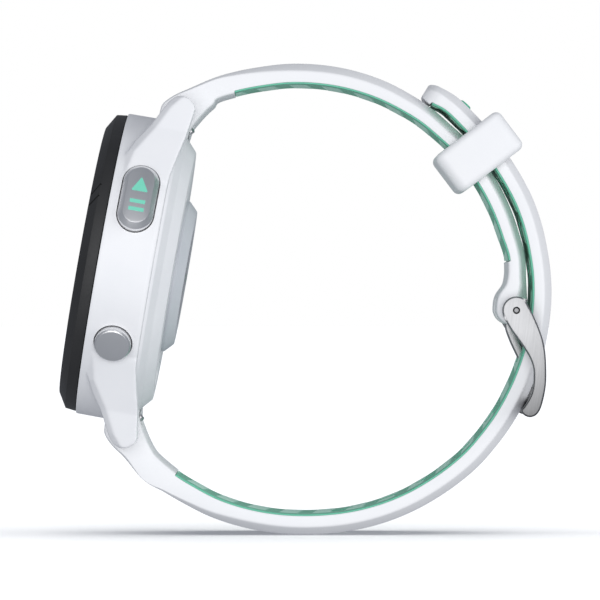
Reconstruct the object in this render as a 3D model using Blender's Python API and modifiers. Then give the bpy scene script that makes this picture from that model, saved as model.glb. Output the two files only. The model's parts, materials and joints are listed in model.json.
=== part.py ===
"""Running watch with satellite positioning, standing on its buckled strap.

Row frame: +Z up, the strap loop lies in the XZ plane, the wrist axis is Y.
The display faces -X and leans ten degrees forward; three o'clock is -Y.
Lengths below are millimetres; MM turns them into metres.
"""
import math

import bmesh
import bpy
from mathutils import Matrix, Vector

MM = 0.001

# ---------------------------------------------------------------- dimensions
CASE_CENTRE = (-28.02, 0.0, 37.21)   # centre of the bezel's back plane
CASE_LEAN_DEG = 10.0                 # twelve o'clock tips this far towards +X
CASE_R = 20.95                       # mid-frame radius
CASE_BORE_R = 17.6
CASE_DEPTH = 7.5                     # mid-frame, front to back
BEZEL_R = 20.7
BEZEL_H = 2.6
LENS_R = 17.2
LUG_GAP = 18.0                       # strap width standard
BAR_U, BAR_N = 22.0, 7.2             # spring bar centre: along twelve, depth
BAR_R = 0.9
BACK_N = 10.15                       # flat back behind the bezel plane
BUMP_N = 11.73                       # sensor face behind the bezel plane
BUTTON_N = 3.95                      # button centre depth
BUTTON_FACE_R = 21.95
BUTTON_TRAVEL = 0.5
BUTTONS = {"start": 27.0, "back": -29.5, "light": 150.0, "up": 180.0, "down": 210.0}
SCREW_R = 15.4
STRAP_W = 17.6
LINER_T = 0.45
LINER_GAP = 0.1
PIN_X, PIN_Z = 28.77, 30.73          # buckle pin axis
PIN_R = 0.75
PIN_END_R = 0.36
PLATE_IN, PLATE_OUT = 9.3, 11.4      # buckle side plates, |Y|
BUCKLE_SWING_DEG = 4.0
HOLE_L, HOLE_W, HOLE_PITCH = 3.2, 2.6, 6.6
KEEPER_X, KEEPER_Z, KEEPER_ANGLE = 23.75, 52.34, 37.1

# ---------------------------------------------------------------- scene
for ob in list(bpy.data.objects):
    bpy.data.objects.remove(ob, do_unlink=True)
WATCH = bpy.data.collections.new("running_watch")
CUTTERS = bpy.data.collections.new("cutters")
HOLES = bpy.data.collections.new("strap_hole_cutters")
bpy.context.scene.collection.children.link(WATCH)
bpy.context.scene.collection.children.link(CUTTERS)
CUTTERS.children.link(HOLES)

# ---------------------------------------------------------------- frames
lean = math.radians(CASE_LEAN_DEG)
U = Vector((math.sin(lean), 0.0, math.cos(lean)))      # towards twelve o'clock
N = Vector((math.cos(lean), 0.0, -math.sin(lean)))     # into the case
X3 = Vector((0.0, -1.0, 0.0))                          # towards three o'clock


def frame(origin, x, y, z):
    """A placement whose local axes are x, y, z; origin in millimetres."""
    m = Matrix.Identity(4)
    for i in range(3):
        m[i][0], m[i][1], m[i][2], m[i][3] = x[i], y[i], z[i], origin[i] * MM
    return m


CASE = frame(CASE_CENTRE, X3, U, -N)
# Profiles drawn as (12 o'clock, display normal) and extruded towards 3 o'clock.
CASE_SIDE = frame(CASE_CENTRE, U, -N, X3)
# Profiles drawn in world X, Z and extruded along -Y.
SIDE = frame((0, 0, 0), Vector((1, 0, 0)), Vector((0, 0, 1)), Vector((0, -1, 0)))


def shift(x, y, z):
    return Matrix.Translation((x * MM, y * MM, z * MM))


def button_frame(angle_deg):
    """Local Z points out through the case wall, local Y at the display."""
    a = math.radians(angle_deg)
    z = X3 * math.cos(a) + U * math.sin(a)
    x = -X3 * math.sin(a) + U * math.cos(a)
    c = Vector(CASE_CENTRE) + N * BUTTON_N
    return frame(c, x, -N, z)


def case_point(u, n):
    """World X, Z of a point given along twelve o'clock and in depth."""
    p = Vector(CASE_CENTRE) + U * u + N * n
    return p.x, p.z


# ---------------------------------------------------------------- materials
PALETTE = {
    "white_shell": ((0.86, 0.86, 0.88), 0.45, 0.0),
    "grey_shell": ((0.72, 0.73, 0.76), 0.5, 0.0),
    "bump_plastic": ((0.48, 0.50, 0.54), 0.35, 0.0),
    "black_bezel": ((0.035, 0.035, 0.038), 0.6, 0.0),
    "lens": ((0.02, 0.02, 0.025), 0.05, 0.0),
    "display": ((0.05, 0.06, 0.06), 0.3, 0.0),
    "dark_glass": ((0.01, 0.01, 0.012), 0.08, 0.0),
    "black_rubber": ((0.02, 0.02, 0.02), 0.7, 0.0),
    "dark_plastic": ((0.04, 0.04, 0.045), 0.5, 0.0),
    "board_green": ((0.02, 0.12, 0.06), 0.5, 0.0),
    "battery_foil": ((0.5, 0.5, 0.52), 0.35, 0.8),
    "steel": ((0.55, 0.55, 0.56), 0.3, 1.0),
    "satin_metal": ((0.45, 0.45, 0.46), 0.35, 1.0),
    "gold": ((0.8, 0.6, 0.25), 0.25, 1.0),
    "white_silicone": ((0.87, 0.87, 0.88), 0.6, 0.0),
    "green_silicone": ((0.15, 0.45, 0.32), 0.6, 0.0),
}


def material_for(ob, kind):
    colour, rough, metal = PALETTE[kind]
    mat = bpy.data.materials.new(ob.name + "_" + kind)
    mat.use_nodes = True
    bsdf = mat.node_tree.nodes["Principled BSDF"]
    bsdf.inputs["Base Color"].default_value = (*colour, 1.0)
    bsdf.inputs["Roughness"].default_value = rough
    bsdf.inputs["Metallic"].default_value = metal
    ob.data.materials.clear()
    ob.data.materials.append(mat)


# ---------------------------------------------------------------- makers
def settle(ob):
    """Turns an object's evaluated shape into a plain closed mesh object."""
    bpy.context.view_layer.update()
    dg = bpy.context.evaluated_depsgraph_get()
    me = bpy.data.meshes.new_from_object(ob.evaluated_get(dg), depsgraph=dg)
    bm = bmesh.new()
    bm.from_mesh(me)
    bmesh.ops.remove_doubles(bm, verts=bm.verts, dist=2e-6)
    bmesh.ops.recalc_face_normals(bm, faces=bm.faces)
    bm.to_mesh(me)
    bm.free()
    name, where = ob.name, ob.matrix_world.copy()
    coll = ob.users_collection[0]
    bpy.data.objects.remove(ob, do_unlink=True)
    out = bpy.data.objects.new(name, me)
    me.name = name
    coll.objects.link(out)
    out.matrix_world = where
    me.shade_smooth()
    me.set_sharp_from_angle(angle=math.radians(32))
    return out


def finish(ob, kind):
    if kind is None:
        ob.hide_render = True
        ob.display_type = 'WIRE'
    else:
        material_for(ob, kind)
    return ob


def home(kind, coll=None):
    return coll or (CUTTERS if kind is None else WATCH)


def turned(name, profile, steps, where, kind, ring=False, coll=None):
    """A profile of (radius, height) turned about local Z."""
    me = bpy.data.meshes.new(name)
    n = len(profile)
    edges = [(i, i + 1) for i in range(n - 1)] + ([(n - 1, 0)] if ring else [])
    me.from_pydata([(r * MM, 0.0, z * MM) for r, z in profile], edges, [])
    ob = bpy.data.objects.new(name, me)
    home(kind, coll).objects.link(ob)
    ob.matrix_world = where
    turn = ob.modifiers.new("turn", 'SCREW')
    turn.axis = 'Z'
    turn.steps = turn.render_steps = steps
    turn.use_merge_vertices = True
    turn.merge_threshold = 0.00001
    return finish(settle(ob), kind)


def plate(name, outline, z0, z1, where, kind, holes=(), coll=None):
    """A flat outline of (x, y), with holes, as thick as z0 to z1."""
    cu = bpy.data.curves.new(name, 'CURVE')
    cu.dimensions = '2D'
    cu.fill_mode = 'BOTH'
    cu.extrude = abs(z1 - z0) * 0.5 * MM
    for pts in [outline, *holes]:
        sp = cu.splines.new('POLY')
        sp.points.add(len(pts) - 1)
        for p, (x, y) in zip(sp.points, pts):
            p.co = (x * MM, y * MM, 0.0, 1.0)
        sp.use_cyclic_u = True
    ob = bpy.data.objects.new(name, cu)
    home(kind, coll).objects.link(ob)
    ob.matrix_world = where @ shift(0, 0, (z0 + z1) * 0.5)
    return finish(settle(ob), kind)


def loft(name, rings, where, kind, coll=None):
    """Skins rings of equal count, each a list of (x, y, z), and caps the ends."""
    bm = bmesh.new()
    rows = [[bm.verts.new(Vector(p) * MM) for p in ring] for ring in rings]
    k = len(rings[0])
    for a, b in zip(rows, rows[1:]):
        for i in range(k):
            j = (i + 1) % k
            bm.faces.new((a[i], a[j], b[j], b[i]))
    bm.faces.new(list(reversed(rows[0])))
    bm.faces.new(rows[-1])
    bmesh.ops.recalc_face_normals(bm, faces=bm.faces)
    me = bpy.data.meshes.new(name)
    bm.to_mesh(me)
    bm.free()
    ob = bpy.data.objects.new(name, me)
    home(kind, coll).objects.link(ob)
    ob.matrix_world = where
    me.shade_smooth()
    me.set_sharp_from_angle(angle=math.radians(32))
    return finish(ob, kind)


def block(name, lo, hi, where, kind, bevel=0.0, coll=None):
    bm = bmesh.new()
    bmesh.ops.create_cube(bm, size=1.0)
    size = [(h - l) * MM for l, h in zip(lo, hi)]
    mid = [(h + l) * 0.5 * MM for l, h in zip(lo, hi)]
    bmesh.ops.scale(bm, vec=size, verts=bm.verts)
    bmesh.ops.translate(bm, vec=mid, verts=bm.verts)
    if bevel:
        bmesh.ops.bevel(bm, geom=bm.edges[:], offset=bevel * MM, segments=1, affect='EDGES')
    me = bpy.data.meshes.new(name)
    bm.to_mesh(me)
    bm.free()
    ob = bpy.data.objects.new(name, me)
    home(kind, coll).objects.link(ob)
    ob.matrix_world = where
    return finish(ob, kind)


def combine(ob, other, how='DIFFERENCE'):
    m = ob.modifiers.new("shape", 'BOOLEAN')
    m.operation = how
    m.solver = 'EXACT'
    m.object = other


def circle(r, n, cx=0.0, cy=0.0, start=0.0):
    return [(cx + r * math.cos(start + 2 * math.pi * i / n),
             cy + r * math.sin(start + 2 * math.pi * i / n)) for i in range(n)]


def pill(length, width, n=16):
    """An outline as long as length on x, with round ends."""
    r, h = width / 2, (length - width) / 2
    pts = []
    for i in range(n + 2):
        side = 1 if i < (n + 2) // 2 else -1
        k = i % ((n + 2) // 2)
        a = -math.pi / 2 + math.pi * k / ((n + 2) // 2 - 1)
        a = a if side > 0 else a + math.pi
        pts.append((side * h + r * math.cos(a), r * math.sin(a)))
    return pts


def stack(name, levels, where, kind, coll=None):
    """Pill or round outlines of (height, length, width) stacked along local Z."""
    rings = [[(x, y, z) for x, y in pill(l, w)] for z, l, w in levels]
    return loft(name, rings, where, kind, coll)


# ================================================================ the case
ring = turned("case_midframe", [
    (0.0, -0.12), (20.75, -0.12), (CASE_R, -0.4), (21.0, -3.7),
    (CASE_R, -7.2), (20.85, -CASE_DEPTH), (0.0, -CASE_DEPTH)], 56, CASE, "white_shell")

# Lugs: a side profile met by a plan profile, four times.
LUG_SIDE = [(11.0, -0.9), (11.7, -0.65), (14.9, -1.0), (17.4, -2.2), (19.7, -3.75),
            (22.2, -5.0), (23.3, -5.6), (24.05, -6.3), (24.35, -7.1), (24.15, -8.1),
            (23.6, -8.85), (22.9, -9.3), (18.8, -8.7), (16.0, -8.1), (13.5, -7.6),
            (11.0, -7.3)]
LUG_PLAN = [(9.0, 16.5), (16.2, 11.3), (17.2, 12.0), (15.3, 15.8), (13.6, 19.5),
            (12.75, 22.6), (12.35, 24.0), (11.7, 25.5), (9.0, 25.5)]
# Where flank and front would meet, less the chamfer, as (u, (x + z) / root two).
LUG_CHAMFER = [(u, (x + z - 0.85) / math.sqrt(2)) for u, x, z in (
    (9.0, 18.6, -0.65), (12.0, 17.2, -0.67), (15.8, 15.3, -1.38), (19.5, 13.6, -3.65),
    (22.6, 12.75, -5.18), (24.0, 12.35, -6.3), (25.5, 11.7, -8.3))] + [(25.5, -20.0), (9.0, -20.0)]


def place_axes(x, y):
    return frame((0, 0, 0), x, y, x.cross(y))


for sx in (1, -1):
    for su in (1, -1):
        tag = ("three" if sx > 0 else "nine") + ("_upper" if su > 0 else "_lower")
        outward = CASE_SIDE if sx > 0 else CASE_SIDE @ shift(0, 0, -26.0)
        side = plate("lug_side_" + tag, [(su * u, z) for u, z in LUG_SIDE],
                     8.0, 18.0, outward, None)
        plan = plate("lug_plan_" + tag, [(sx * x, su * u) for x, u in LUG_PLAN],
                     -11.0, 1.0, CASE, None)
        combine(side, plan, 'INTERSECT')
        # The chamfer between the front and the flank, cut square to (1, 0, 1).
        skew = place_axes(Vector((0, su, 0)), Vector((sx, 0, 1)).normalized())
        combine(side, plate("lug_chamfer_" + tag, LUG_CHAMFER, -30.0, 30.0, CASE @ skew, None),
                'INTERSECT')
        combine(ring, side, 'UNION')

# The bore, and the step that the back cover laps into.
well = turned("case_well", [
    (0.0, 1.0), (CASE_BORE_R, 1.0), (CASE_BORE_R, -7.35), (20.75, -7.35),
    (20.45, -7.95), (18.95, -8.95), (18.95, -13.0), (0.0, -13.0)], 56, CASE, None)
combine(ring, well)

for name, angle in BUTTONS.items():
    bf = button_frame(angle)
    if name == "start":
        pocket = stack(name + "_pocket", [(19.2, 10.3, 5.45), (24.0, 10.3, 5.45)], bf, None)
    else:
        pocket = turned(name + "_pocket", [(0, 24.0), (2.83, 24.0), (2.83, 19.2), (0, 19.2)],
                        16, bf, None)
    combine(ring, pocket)
    bore = turned(name + "_bore", [(0, 20.0), (1.15, 20.0), (1.15, 16.5), (0, 16.5)], 8, bf, None)
    combine(ring, bore)

for su, tag in ((1, "upper"), (-1, "lower")):
    bar_at = CASE @ shift(0, su * BAR_U, -BAR_N) @ Matrix.Rotation(math.pi / 2, 4, 'Y')
    hole = turned("lug_hole_" + tag, [(0, 10.6), (0.55, 10.6), (0.55, -10.6), (0, -10.6)],
                  12, bar_at, None)
    combine(ring, hole)

turned("bezel", [(BEZEL_R, 0.0), (16.2, 0.0), (16.2, 0.7), (17.35, 0.7), (17.35, 2.45),
                 (17.5, BEZEL_H), (18.6, BEZEL_H), (20.5, 1.45)],
       60, CASE, "black_bezel", ring=True)
turned("lens_glass", [(0, 2.5), (16.95, 2.5), (LENS_R, 2.25), (LENS_R, 1.4), (0, 1.4)],
       40, CASE, "lens")
turned("lens_gasket", [(17.15, 1.25), (17.15, 0.85), (16.4, 0.85), (16.4, 1.25)],
       28, CASE, "black_rubber", ring=True)
turned("display_panel", [(0, 1.15), (15.9, 1.15), (15.9, 0.35), (0, 0.35)],
       28, CASE, "display")

cover = turned("back_cover", [
    (17.3, -7.5), (17.95, -7.5), (17.95, -8.0), (18.85, -8.0), (18.85, -7.5), (20.6, -7.5),
    (20.3, -7.9), (18.8, -8.8), (17.3, -BACK_N), (10.75, -BACK_N), (10.75, -9.0),
    (13.6, -9.0), (13.9, -8.5), (16.9, -8.5)], 44, CASE, "grey_shell", ring=True)
turned("case_gasket", [(18.72, -7.42), (18.72, -7.9), (18.08, -7.9), (18.08, -7.42)],
       32, CASE, "black_rubber", ring=True)
for i in range(4):
    a = math.radians(45 + 90 * i)
    at = CASE @ shift(SCREW_R * math.cos(a), SCREW_R * math.sin(a), 0)
    sink = turned("screw_sink_%d" % (i + 1), [
        (0, -6.5), (0.75, -6.5), (0.75, -9.3), (1.5, -9.3), (1.5, -11.0), (0, -11.0)],
        12, at, None)
    combine(cover, sink)
    screw = turned("back_screw_%d" % (i + 1), [
        (0, -6.6), (0.55, -6.6), (0.55, -9.38), (1.3, -9.38), (1.3, -9.95), (1.15, -10.1),
        (0, -10.1)], 12, at, "steel")
    slot = block("screw_slot_%d" % (i + 1), (-0.85, -0.16, -10.5), (0.85, 0.16, -9.85), at, None)
    cross = block("screw_cross_%d" % (i + 1), (-0.16, -0.85, -10.5), (0.16, 0.85, -9.85), at, None)
    combine(screw, slot)
    combine(screw, cross)

charge_at = CASE @ shift(0, -13.8, 0)
dock = stack("charge_pocket", [(-9.55, 8.2, 3.6), (-11.0, 8.2, 3.6)], charge_at, None)
combine(cover, dock)
for i in range(4):
    at = charge_at @ shift(-2.55 + 1.7 * i, 0, 0)
    bore = turned("contact_bore_%d" % (i + 1), [(0, -8.0), (0.62, -8.0), (0.62, -9.9), (0, -9.9)],
                  8, at, None)
    combine(cover, bore)
    turned("charge_contact_%d" % (i + 1), [(0, -8.3), (0.5, -8.3), (0.5, -9.45), (0.4, -9.52),
                                           (0, -9.52)], 8, at, "gold")

turned("sensor_housing", [
    (0, -10.4), (9.3, -10.4), (9.3, -8.3), (11.6, -8.3), (11.6, -8.85), (10.45, -8.85),
    (10.45, -10.6), (9.2, -BUMP_N), (6.75, -BUMP_N), (6.75, -11.1), (0, -11.1)],
    40, CASE, "bump_plastic")
turned("sensor_glass", [(0, -11.2), (6.65, -11.2), (6.65, -BUMP_N), (0, -BUMP_N)],
       32, CASE, "dark_glass")
turned("sensor_board", [(0, -9.6), (8.9, -9.6), (8.9, -10.1), (0, -10.1)], 24, CASE,
       "board_green")

# Inner works.
chassis = turned("chassis", [(13.9, -0.4), (15.0, -0.4), (15.0, -6.0), (13.9, -6.0)],
                 32, CASE, "dark_plastic", ring=True)
for i in range(4):
    a = math.radians(45 + 90 * i)
    at = CASE @ shift(SCREW_R * math.cos(a), SCREW_R * math.sin(a), 0)
    boss = turned("boss_%d" % (i + 1), [(0, -5.0), (1.35, -5.0), (1.35, -8.2), (0, -8.2)],
                  8, at, None)
    combine(chassis, boss, 'UNION')
    tap = turned("boss_hole_%d" % (i + 1), [(0, -5.6), (0.7, -5.6), (0.7, -9.0), (0, -9.0)],
                 8, at, None)
    combine(chassis, tap)
turned("main_board", [(0, -0.9), (13.5, -0.9), (13.5, -1.7), (0, -1.7)], 32, CASE, "board_green")
block("battery", (-8.5, -8.0, -5.7), (8.5, 8.0, -2.1), CASE, "battery_foil", bevel=0.7)
turned("antenna_ring", [(17.3, -0.45), (17.3, -1.25), (15.35, -1.25), (15.35, -0.45)],
       28, CASE, "gold", ring=True)
motor_at = CASE @ shift(0, -8.4, 0)
turned("motor_can", [(0, -6.0), (4.0, -6.0), (4.0, -8.1), (3.7, -8.1), (3.7, -6.3), (0, -6.3)],
       24, motor_at, "steel")
HALF = [(3.3 * math.cos(math.pi * i / 10), 3.3 * math.sin(math.pi * i / 10)) for i in range(11)]
HUB = [(0.8 * math.cos(math.pi + math.pi * i / 6), 0.8 * math.sin(math.pi + math.pi * i / 6))
       for i in range(7)]
plate("motor_weight", HALF + HUB, -7.8, -6.5, motor_at, "steel")
turned("buzzer", [(0, -6.0), (3.6, -6.0), (3.6, -6.7), (0, -6.7)], 20,
       CASE @ shift(0, 8.4, 0), "gold")

# ================================================================ buttons
STEM = [(0.85, 19.9), (0.85, 18.95), (0.55, 18.95), (0.55, 18.25), (0.85, 18.25),
        (0.85, 17.42), (0.55, 17.42), (0.55, 16.98), (0.85, 16.98), (0.85, 16.75), (0, 16.75)]
CLIP = ([(1.6 * math.cos(math.radians(a)), 1.6 * math.sin(math.radians(a)))
         for a in range(30, 331, 30)]
        + [(0.62 * math.cos(math.radians(a)), 0.62 * math.sin(math.radians(a)))
           for a in range(330, 29, -50)])
for name, angle in BUTTONS.items():
    bf = button_frame(angle)
    if name == "start":
        cap = stack("start_button", [(19.9, 9.8, 4.9), (21.0, 9.8, 4.9),
                                     (BUTTON_FACE_R - 0.12, 8.55, 3.65),
                                     (BUTTON_FACE_R, 8.2, 3.3)], bf, "satin_metal")
        stem = turned("start_stem", [(0, 20.6), (0.85, 20.6)] + STEM[1:], 10, bf, None)
        combine(cap, stem, 'UNION')
    else:
        turned(name + "_button", [(0, BUTTON_FACE_R), (2.1, BUTTON_FACE_R),
                                  (2.475, BUTTON_FACE_R - 0.4), (2.475, 19.9)] + STEM,
               12, bf, "satin_metal")
    turned(name + "_button_seal", [(0.95, 18.8), (1.06, 18.58), (0.95, 18.35), (0.65, 18.35),
                                   (0.65, 18.8)], 8, bf, "black_rubber", ring=True)
    plate(name + "_button_clip", CLIP, 17.05, 17.35, bf, "steel")
    sw = [[(-1.5, -1.2), (1.5, -1.2), (1.5, 1.2), (-1.5, 1.2)],
          [(-0.7, -0.6), (0.7, -0.6), (0.7, 0.6), (-0.7, 0.6)]]
    loft(name + "_switch", [[(x, y, 15.2) for x, y in sw[0]], [(x, y, 15.75) for x, y in sw[0]],
                            [(x, y, 15.75) for x, y in sw[1]], [(x, y, 16.1) for x, y in sw[1]]],
         bf, "dark_plastic")

# ================================================================ spring bars
LEVER_U, LEVER_N = -2.05, 1.75       # from the bar towards the wrist
for su, tag in ((1, "upper"), (-1, "lower")):
    # Local Z along the bar towards nine o'clock, local X towards the lever knob.
    d = (U * (LEVER_U * su) + N * LEVER_N).normalized()
    z = -X3
    y = z.cross(d)
    at = frame(Vector(CASE_CENTRE) + U * (su * BAR_U) + N * BAR_N, d, y, z)
    bar = turned("spring_bar_" + tag, [
        (0, 10.2), (0.45, 10.2), (0.45, 8.6), (BAR_R, 8.6), (BAR_R, -8.5), (0.55, -8.5),
        (0.55, 1.0), (0, 1.0)], 10, at, "steel")
    window = block("bar_window_" + tag, (0.0, -0.52, -4.1), (2.0, 0.52, -1.1), at, None)
    combine(bar, window)
    lever = turned("quick_release_lever_" + tag, [(0, -1.4), (0.4, -1.4), (0.4, -10.2),
                                                  (0, -10.2)], 10, at, "steel")
    post_at = at @ shift(0, 0, -3.4) @ Matrix.Rotation(math.pi / 2, 4, 'Y')
    post = turned("lever_post_" + tag, [(0, 3.1), (0.45, 3.1), (0.55, 2.85), (0.55, 2.5),
                                        (0.36, 2.3), (0.36, 0.0), (0, 0.0)], 10, post_at, None)
    combine(lever, post, 'UNION')

# ================================================================ strap
def smooth_path(points, steps):
    """Catmull-Rom through points of any size, steps to a span."""
    out = []
    for i in range(len(points) - 1):
        p0 = points[max(i - 1, 0)]
        p1, p2 = points[i], points[i + 1]
        p3 = points[min(i + 2, len(points) - 1)]
        for k in range(steps):
            t = k / steps
            out.append(tuple(
                0.5 * ((2 * b) + (c - a) * t + (2 * a - 5 * b + 4 * c - d) * t * t
                       + (3 * b - a - 3 * c + d) * t ** 3)
                for a, b, c, d in zip(p0, p1, p2, p3)))
    out.append(tuple(points[-1]))
    return out


def resample(path, step):
    """Points a step apart along a path of (x, z, ...), ends kept."""
    dist = [0.0]
    for a, b in zip(path, path[1:]):
        dist.append(dist[-1] + math.hypot(b[0] - a[0], b[1] - a[1]))
    n = max(2, round(dist[-1] / step))
    out, j = [], 0
    for i in range(n + 1):
        s = dist[-1] * i / n
        while j < len(dist) - 2 and dist[j + 1] < s:
            j += 1
        f = (s - dist[j]) / max(dist[j + 1] - dist[j], 1e-9)
        f = min(max(f, 0.0), 1.0)
        out.append(tuple(a + (b - a) * f for a, b in zip(path[j], path[j + 1])))
    return out, dist[-1]


def sides(mid, outward):
    """Outer and inner edges of a band along mid = (x, z, thickness, ...)."""
    pairs = []
    for i, p in enumerate(mid):
        a, b = mid[max(i - 1, 0)], mid[min(i + 1, len(mid) - 1)]
        tx, tz = b[0] - a[0], b[1] - a[1]
        k = math.hypot(tx, tz)
        nx, nz = -tz / k * outward, tx / k * outward
        h = p[2] / 2
        pairs.append(((p[0] + nx * h, p[1] + nz * h), (p[0] - nx * h, p[1] - nz * h)))
    return pairs


def root_pairs(su):
    """Strap root beside the case, as (outer, inner) points."""
    table = [((18.9, 4.55), (18.9, 8.75)), ((21.9, 4.5), (20.1, 8.95)),
             ((23.0, 4.75), (21.8, 9.9)), ((24.4, 6.1), (23.1, 10.75)),
             ((25.5, 7.7), (24.0, 11.45))]
    return [(case_point(su * o[0], o[1]), case_point(su * i[0], i[1])) for o, i in table]


def bevel_at(s):
    """How far along the strap's bevelled shoulder has grown, 0 to 1."""
    return min(1.0, max(0.06, s / 15.0))


def band(stations, lined):
    """Rings for the strap: stations are (outer, inner, width, bevel)."""
    rings = []
    for (o, i, w, f), has in zip(stations, lined):
        th = math.hypot(o[0] - i[0], o[1] - i[1])
        hb, rb = min(1.1 * f, 0.45 * th), min(2.6 * f, 0.3 * w)
        t0 = (LINER_T + LINER_GAP) / th if has else 0.0
        t1 = 1.0 - hb / th

        def at(y, t):
            return (i[0] + (o[0] - i[0]) * t, y, i[1] + (o[1] - i[1]) * t)
        h = w / 2
        rings.append([at(-h, t0), at(h, t0), at(h, t1), at(h - rb, 1.0), at(rb - h, 1.0),
                      at(-h, t1)])
    return rings


def lining(stations):
    rings = []
    for o, i, w, f in stations:
        th = math.hypot(o[0] - i[0], o[1] - i[1])

        def at(y, t):
            return (i[0] + (o[0] - i[0]) * t, y, i[1] + (o[1] - i[1]) * t)
        h, t = w / 2, LINER_T / th
        rings.append([at(-h, 0.0), at(h, 0.0), at(h, t), at(-h, t)])
    return rings


def between(a, b, f):
    """A station part-way between two stations."""
    mix = [tuple(p + (q - p) * f for p, q in zip(a[k], b[k])) for k in (0, 1)]
    return (mix[0], mix[1], a[2] + (b[2] - a[2]) * f, a[3] + (b[3] - a[3]) * f)


def lined_band(stations, first, last, tail_margin=None):
    """Strap and liner stations with a small step where the liner starts and ends."""
    strap, flags, liner = [], [], []
    for k, st in enumerate(stations):
        if k == first:
            back = between(st, stations[k - 1], 0.06)
            strap += [back, st]
            flags += [False, True]
            liner.append(between(st, stations[k + 1], 0.04))
        elif k == last:
            liner.append(between(st, stations[k - 1], 0.04))
            strap.append(st)
            flags.append(True)
            if k + 1 < len(stations):
                strap.append(between(st, stations[k + 1], 0.06))
                flags.append(False)
        else:
            strap.append(st)
            flags.append(first < k < last)
            if first < k < last:
                liner.append(st)
    return strap, flags, liner


# Short strap: twelve o'clock lug to the buckle.
SHORT_MID = [(-12.52, 60.93, 2.9), (-9.18, 61.96, 2.95), (-2.47, 63.01, 3.0), (4.10, 62.61, 3.0),
             (10.21, 60.87, 2.95), (15.64, 57.94, 2.8), (19.2, 55.05, 2.7), (22.2, 52.1, 2.7),
             (25.28, 47.55, 2.7), (26.55, 45.1, 2.7), (27.53, 42.57, 2.7), (28.36, 40.02, 2.6),
             (28.98, 37.47, 2.5), (28.98, 34.76, 2.7), (28.5, 32.6, 3.6), (28.42, 31.9, 4.2),
             (28.4, 31.2, 4.5)]
mid, short_len = resample(smooth_path(SHORT_MID, 6), 3.4)
short = [(o, i, STRAP_W, 0.06 + 0.05 * k) for k, (o, i) in enumerate(root_pairs(1))]
for k, (o, i) in enumerate(sides(mid, 1)):
    s = 4.0 + short_len * k / (len(mid) - 1)
    w = 17.6 - 0.6 * min(1.0, s / 20.0)
    w += 0.6 * max(0.0, (s - short_len + 8.0) / 12.0)
    short.append((o, i, w, bevel_at(s)))
for deg in (8, 26, 44, 60, 74):      # the rolled end round the buckle pin
    a = math.radians(deg)
    c, z = 2.28 * math.cos(a), 31.0 - 2.28 * math.sin(a)
    short.append(((28.4 + c - 0.02, z), (28.4 - c, z), 17.5, 0.25 * math.cos(a) + 0.05))
first = 6
last = max(k for k, st in enumerate(short) if st[1][1] > 37.3 and st[1][0] > 20)
strap_st, flags, liner_st = lined_band(short, first, last)
strap_short = loft("strap_short", band(strap_st, flags), Matrix.Identity(4), "white_silicone")
loft("liner_short", lining(liner_st), Matrix.Identity(4), "green_silicone")

# Long strap: six o'clock lug, under the foot, through the buckle to the tail.
LONG_MID = [(-21.31, 9.26, 3.6), (-18.4, 7.16, 3.1), (-12.28, 3.78, 3.0), (-5.71, 1.93, 3.0),
            (0.87, 1.5, 3.0), (7.25, 2.19, 3.0), (13.22, 4.08, 3.0), (18.57, 7.07, 3.0),
            (23.23, 10.9, 3.0), (26.9, 15.58, 3.0), (28.41, 18.11, 3.0), (29.67, 20.76, 3.0),
            (30.73, 23.49, 3.0), (31.53, 26.3, 2.95), (32.06, 29.2, 2.9), (32.36, 32.14, 2.85),
            (32.34, 35.09, 2.8), (32.0, 38.07, 2.8), (31.38, 41.0, 2.8), (30.61, 43.94, 2.8),
            (29.35, 46.73, 2.8), (27.76, 49.6, 2.8), (25.2, 53.3, 2.8), (22.09, 56.88, 2.8),
            (19.8, 59.0, 2.8), (16.6, 61.0, 2.8)]
mid, long_len = resample(smooth_path(LONG_MID, 6), 3.4)
long = [(o, i, STRAP_W, 0.06 + 0.05 * k) for k, (o, i) in enumerate(root_pairs(-1))]
long_mid = []
for k, (o, i) in enumerate(sides(mid, -1)):
    s = long_len * k / (len(mid) - 1)
    w = 17.6 - 0.6 * min(1.0, s / 25.0) - 0.6 * min(1.0, max(0.0, (s - 75.0) / 40.0))
    if k == len(mid) - 1:
        continue
    long.append((o, i, w, bevel_at(s)))
    long_mid.append((mid[k], s))
# The rounded tip: narrower and thinner over the last 2.5 mm.
tip, before = Vector(mid[-1][:2]), Vector(mid[-2][:2])
along = (tip - before).normalized()
across = Vector((along.y, -along.x))
for back, w, th in ((1.6, 15.9, 2.75), (0.7, 14.4, 2.5), (0.15, 12.0, 2.0), (0.0, 10.4, 1.7)):
    c = tip - along * back - across * 0.1
    o, i = c + across * (th / 2), c - across * (th / 2)
    long.append(((o.x, o.y), (i.x, i.y), w, 0.8))
first, last = 6, len(long) - 3
strap_st, flags, liner_st = lined_band(long, first, last)
strap_long = loft("strap_long", band(strap_st, flags), Matrix.Identity(4), "white_silicone")
liner_long = loft("liner_long", lining(liner_st), Matrix.Identity(4), "green_silicone")

# Bores for the bars, the clear space round the case, and the lever windows.
clear = turned("strap_clearance", [
    (0, 3.0), (21.25, 3.0), (21.25, -7.75), (20.75, -8.1), (19.15, -9.15), (17.6, -10.6),
    (17.6, -14.0), (0, -14.0)], 60, CASE, None)
for su, tag, strap in ((1, "upper", strap_short), (-1, "lower", strap_long)):
    combine(strap, clear)
    bar_at = CASE @ shift(0, su * BAR_U, -BAR_N) @ Matrix.Rotation(math.pi / 2, 4, 'Y')
    combine(strap, turned("strap_bar_bore_" + tag, [(0, 12), (1.1, 12), (1.1, -12), (0, -12)],
                          16, bar_at, None))
    d = (U * (LEVER_U * su) + N * LEVER_N).normalized()
    z = -X3
    at = frame(Vector(CASE_CENTRE) + U * (su * BAR_U) + N * BAR_N, d, z.cross(d), z)
    combine(strap, block("lever_window_" + tag, (0.3, -1.05, -4.35), (5.5, 1.05, -0.75), at, None))

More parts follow.
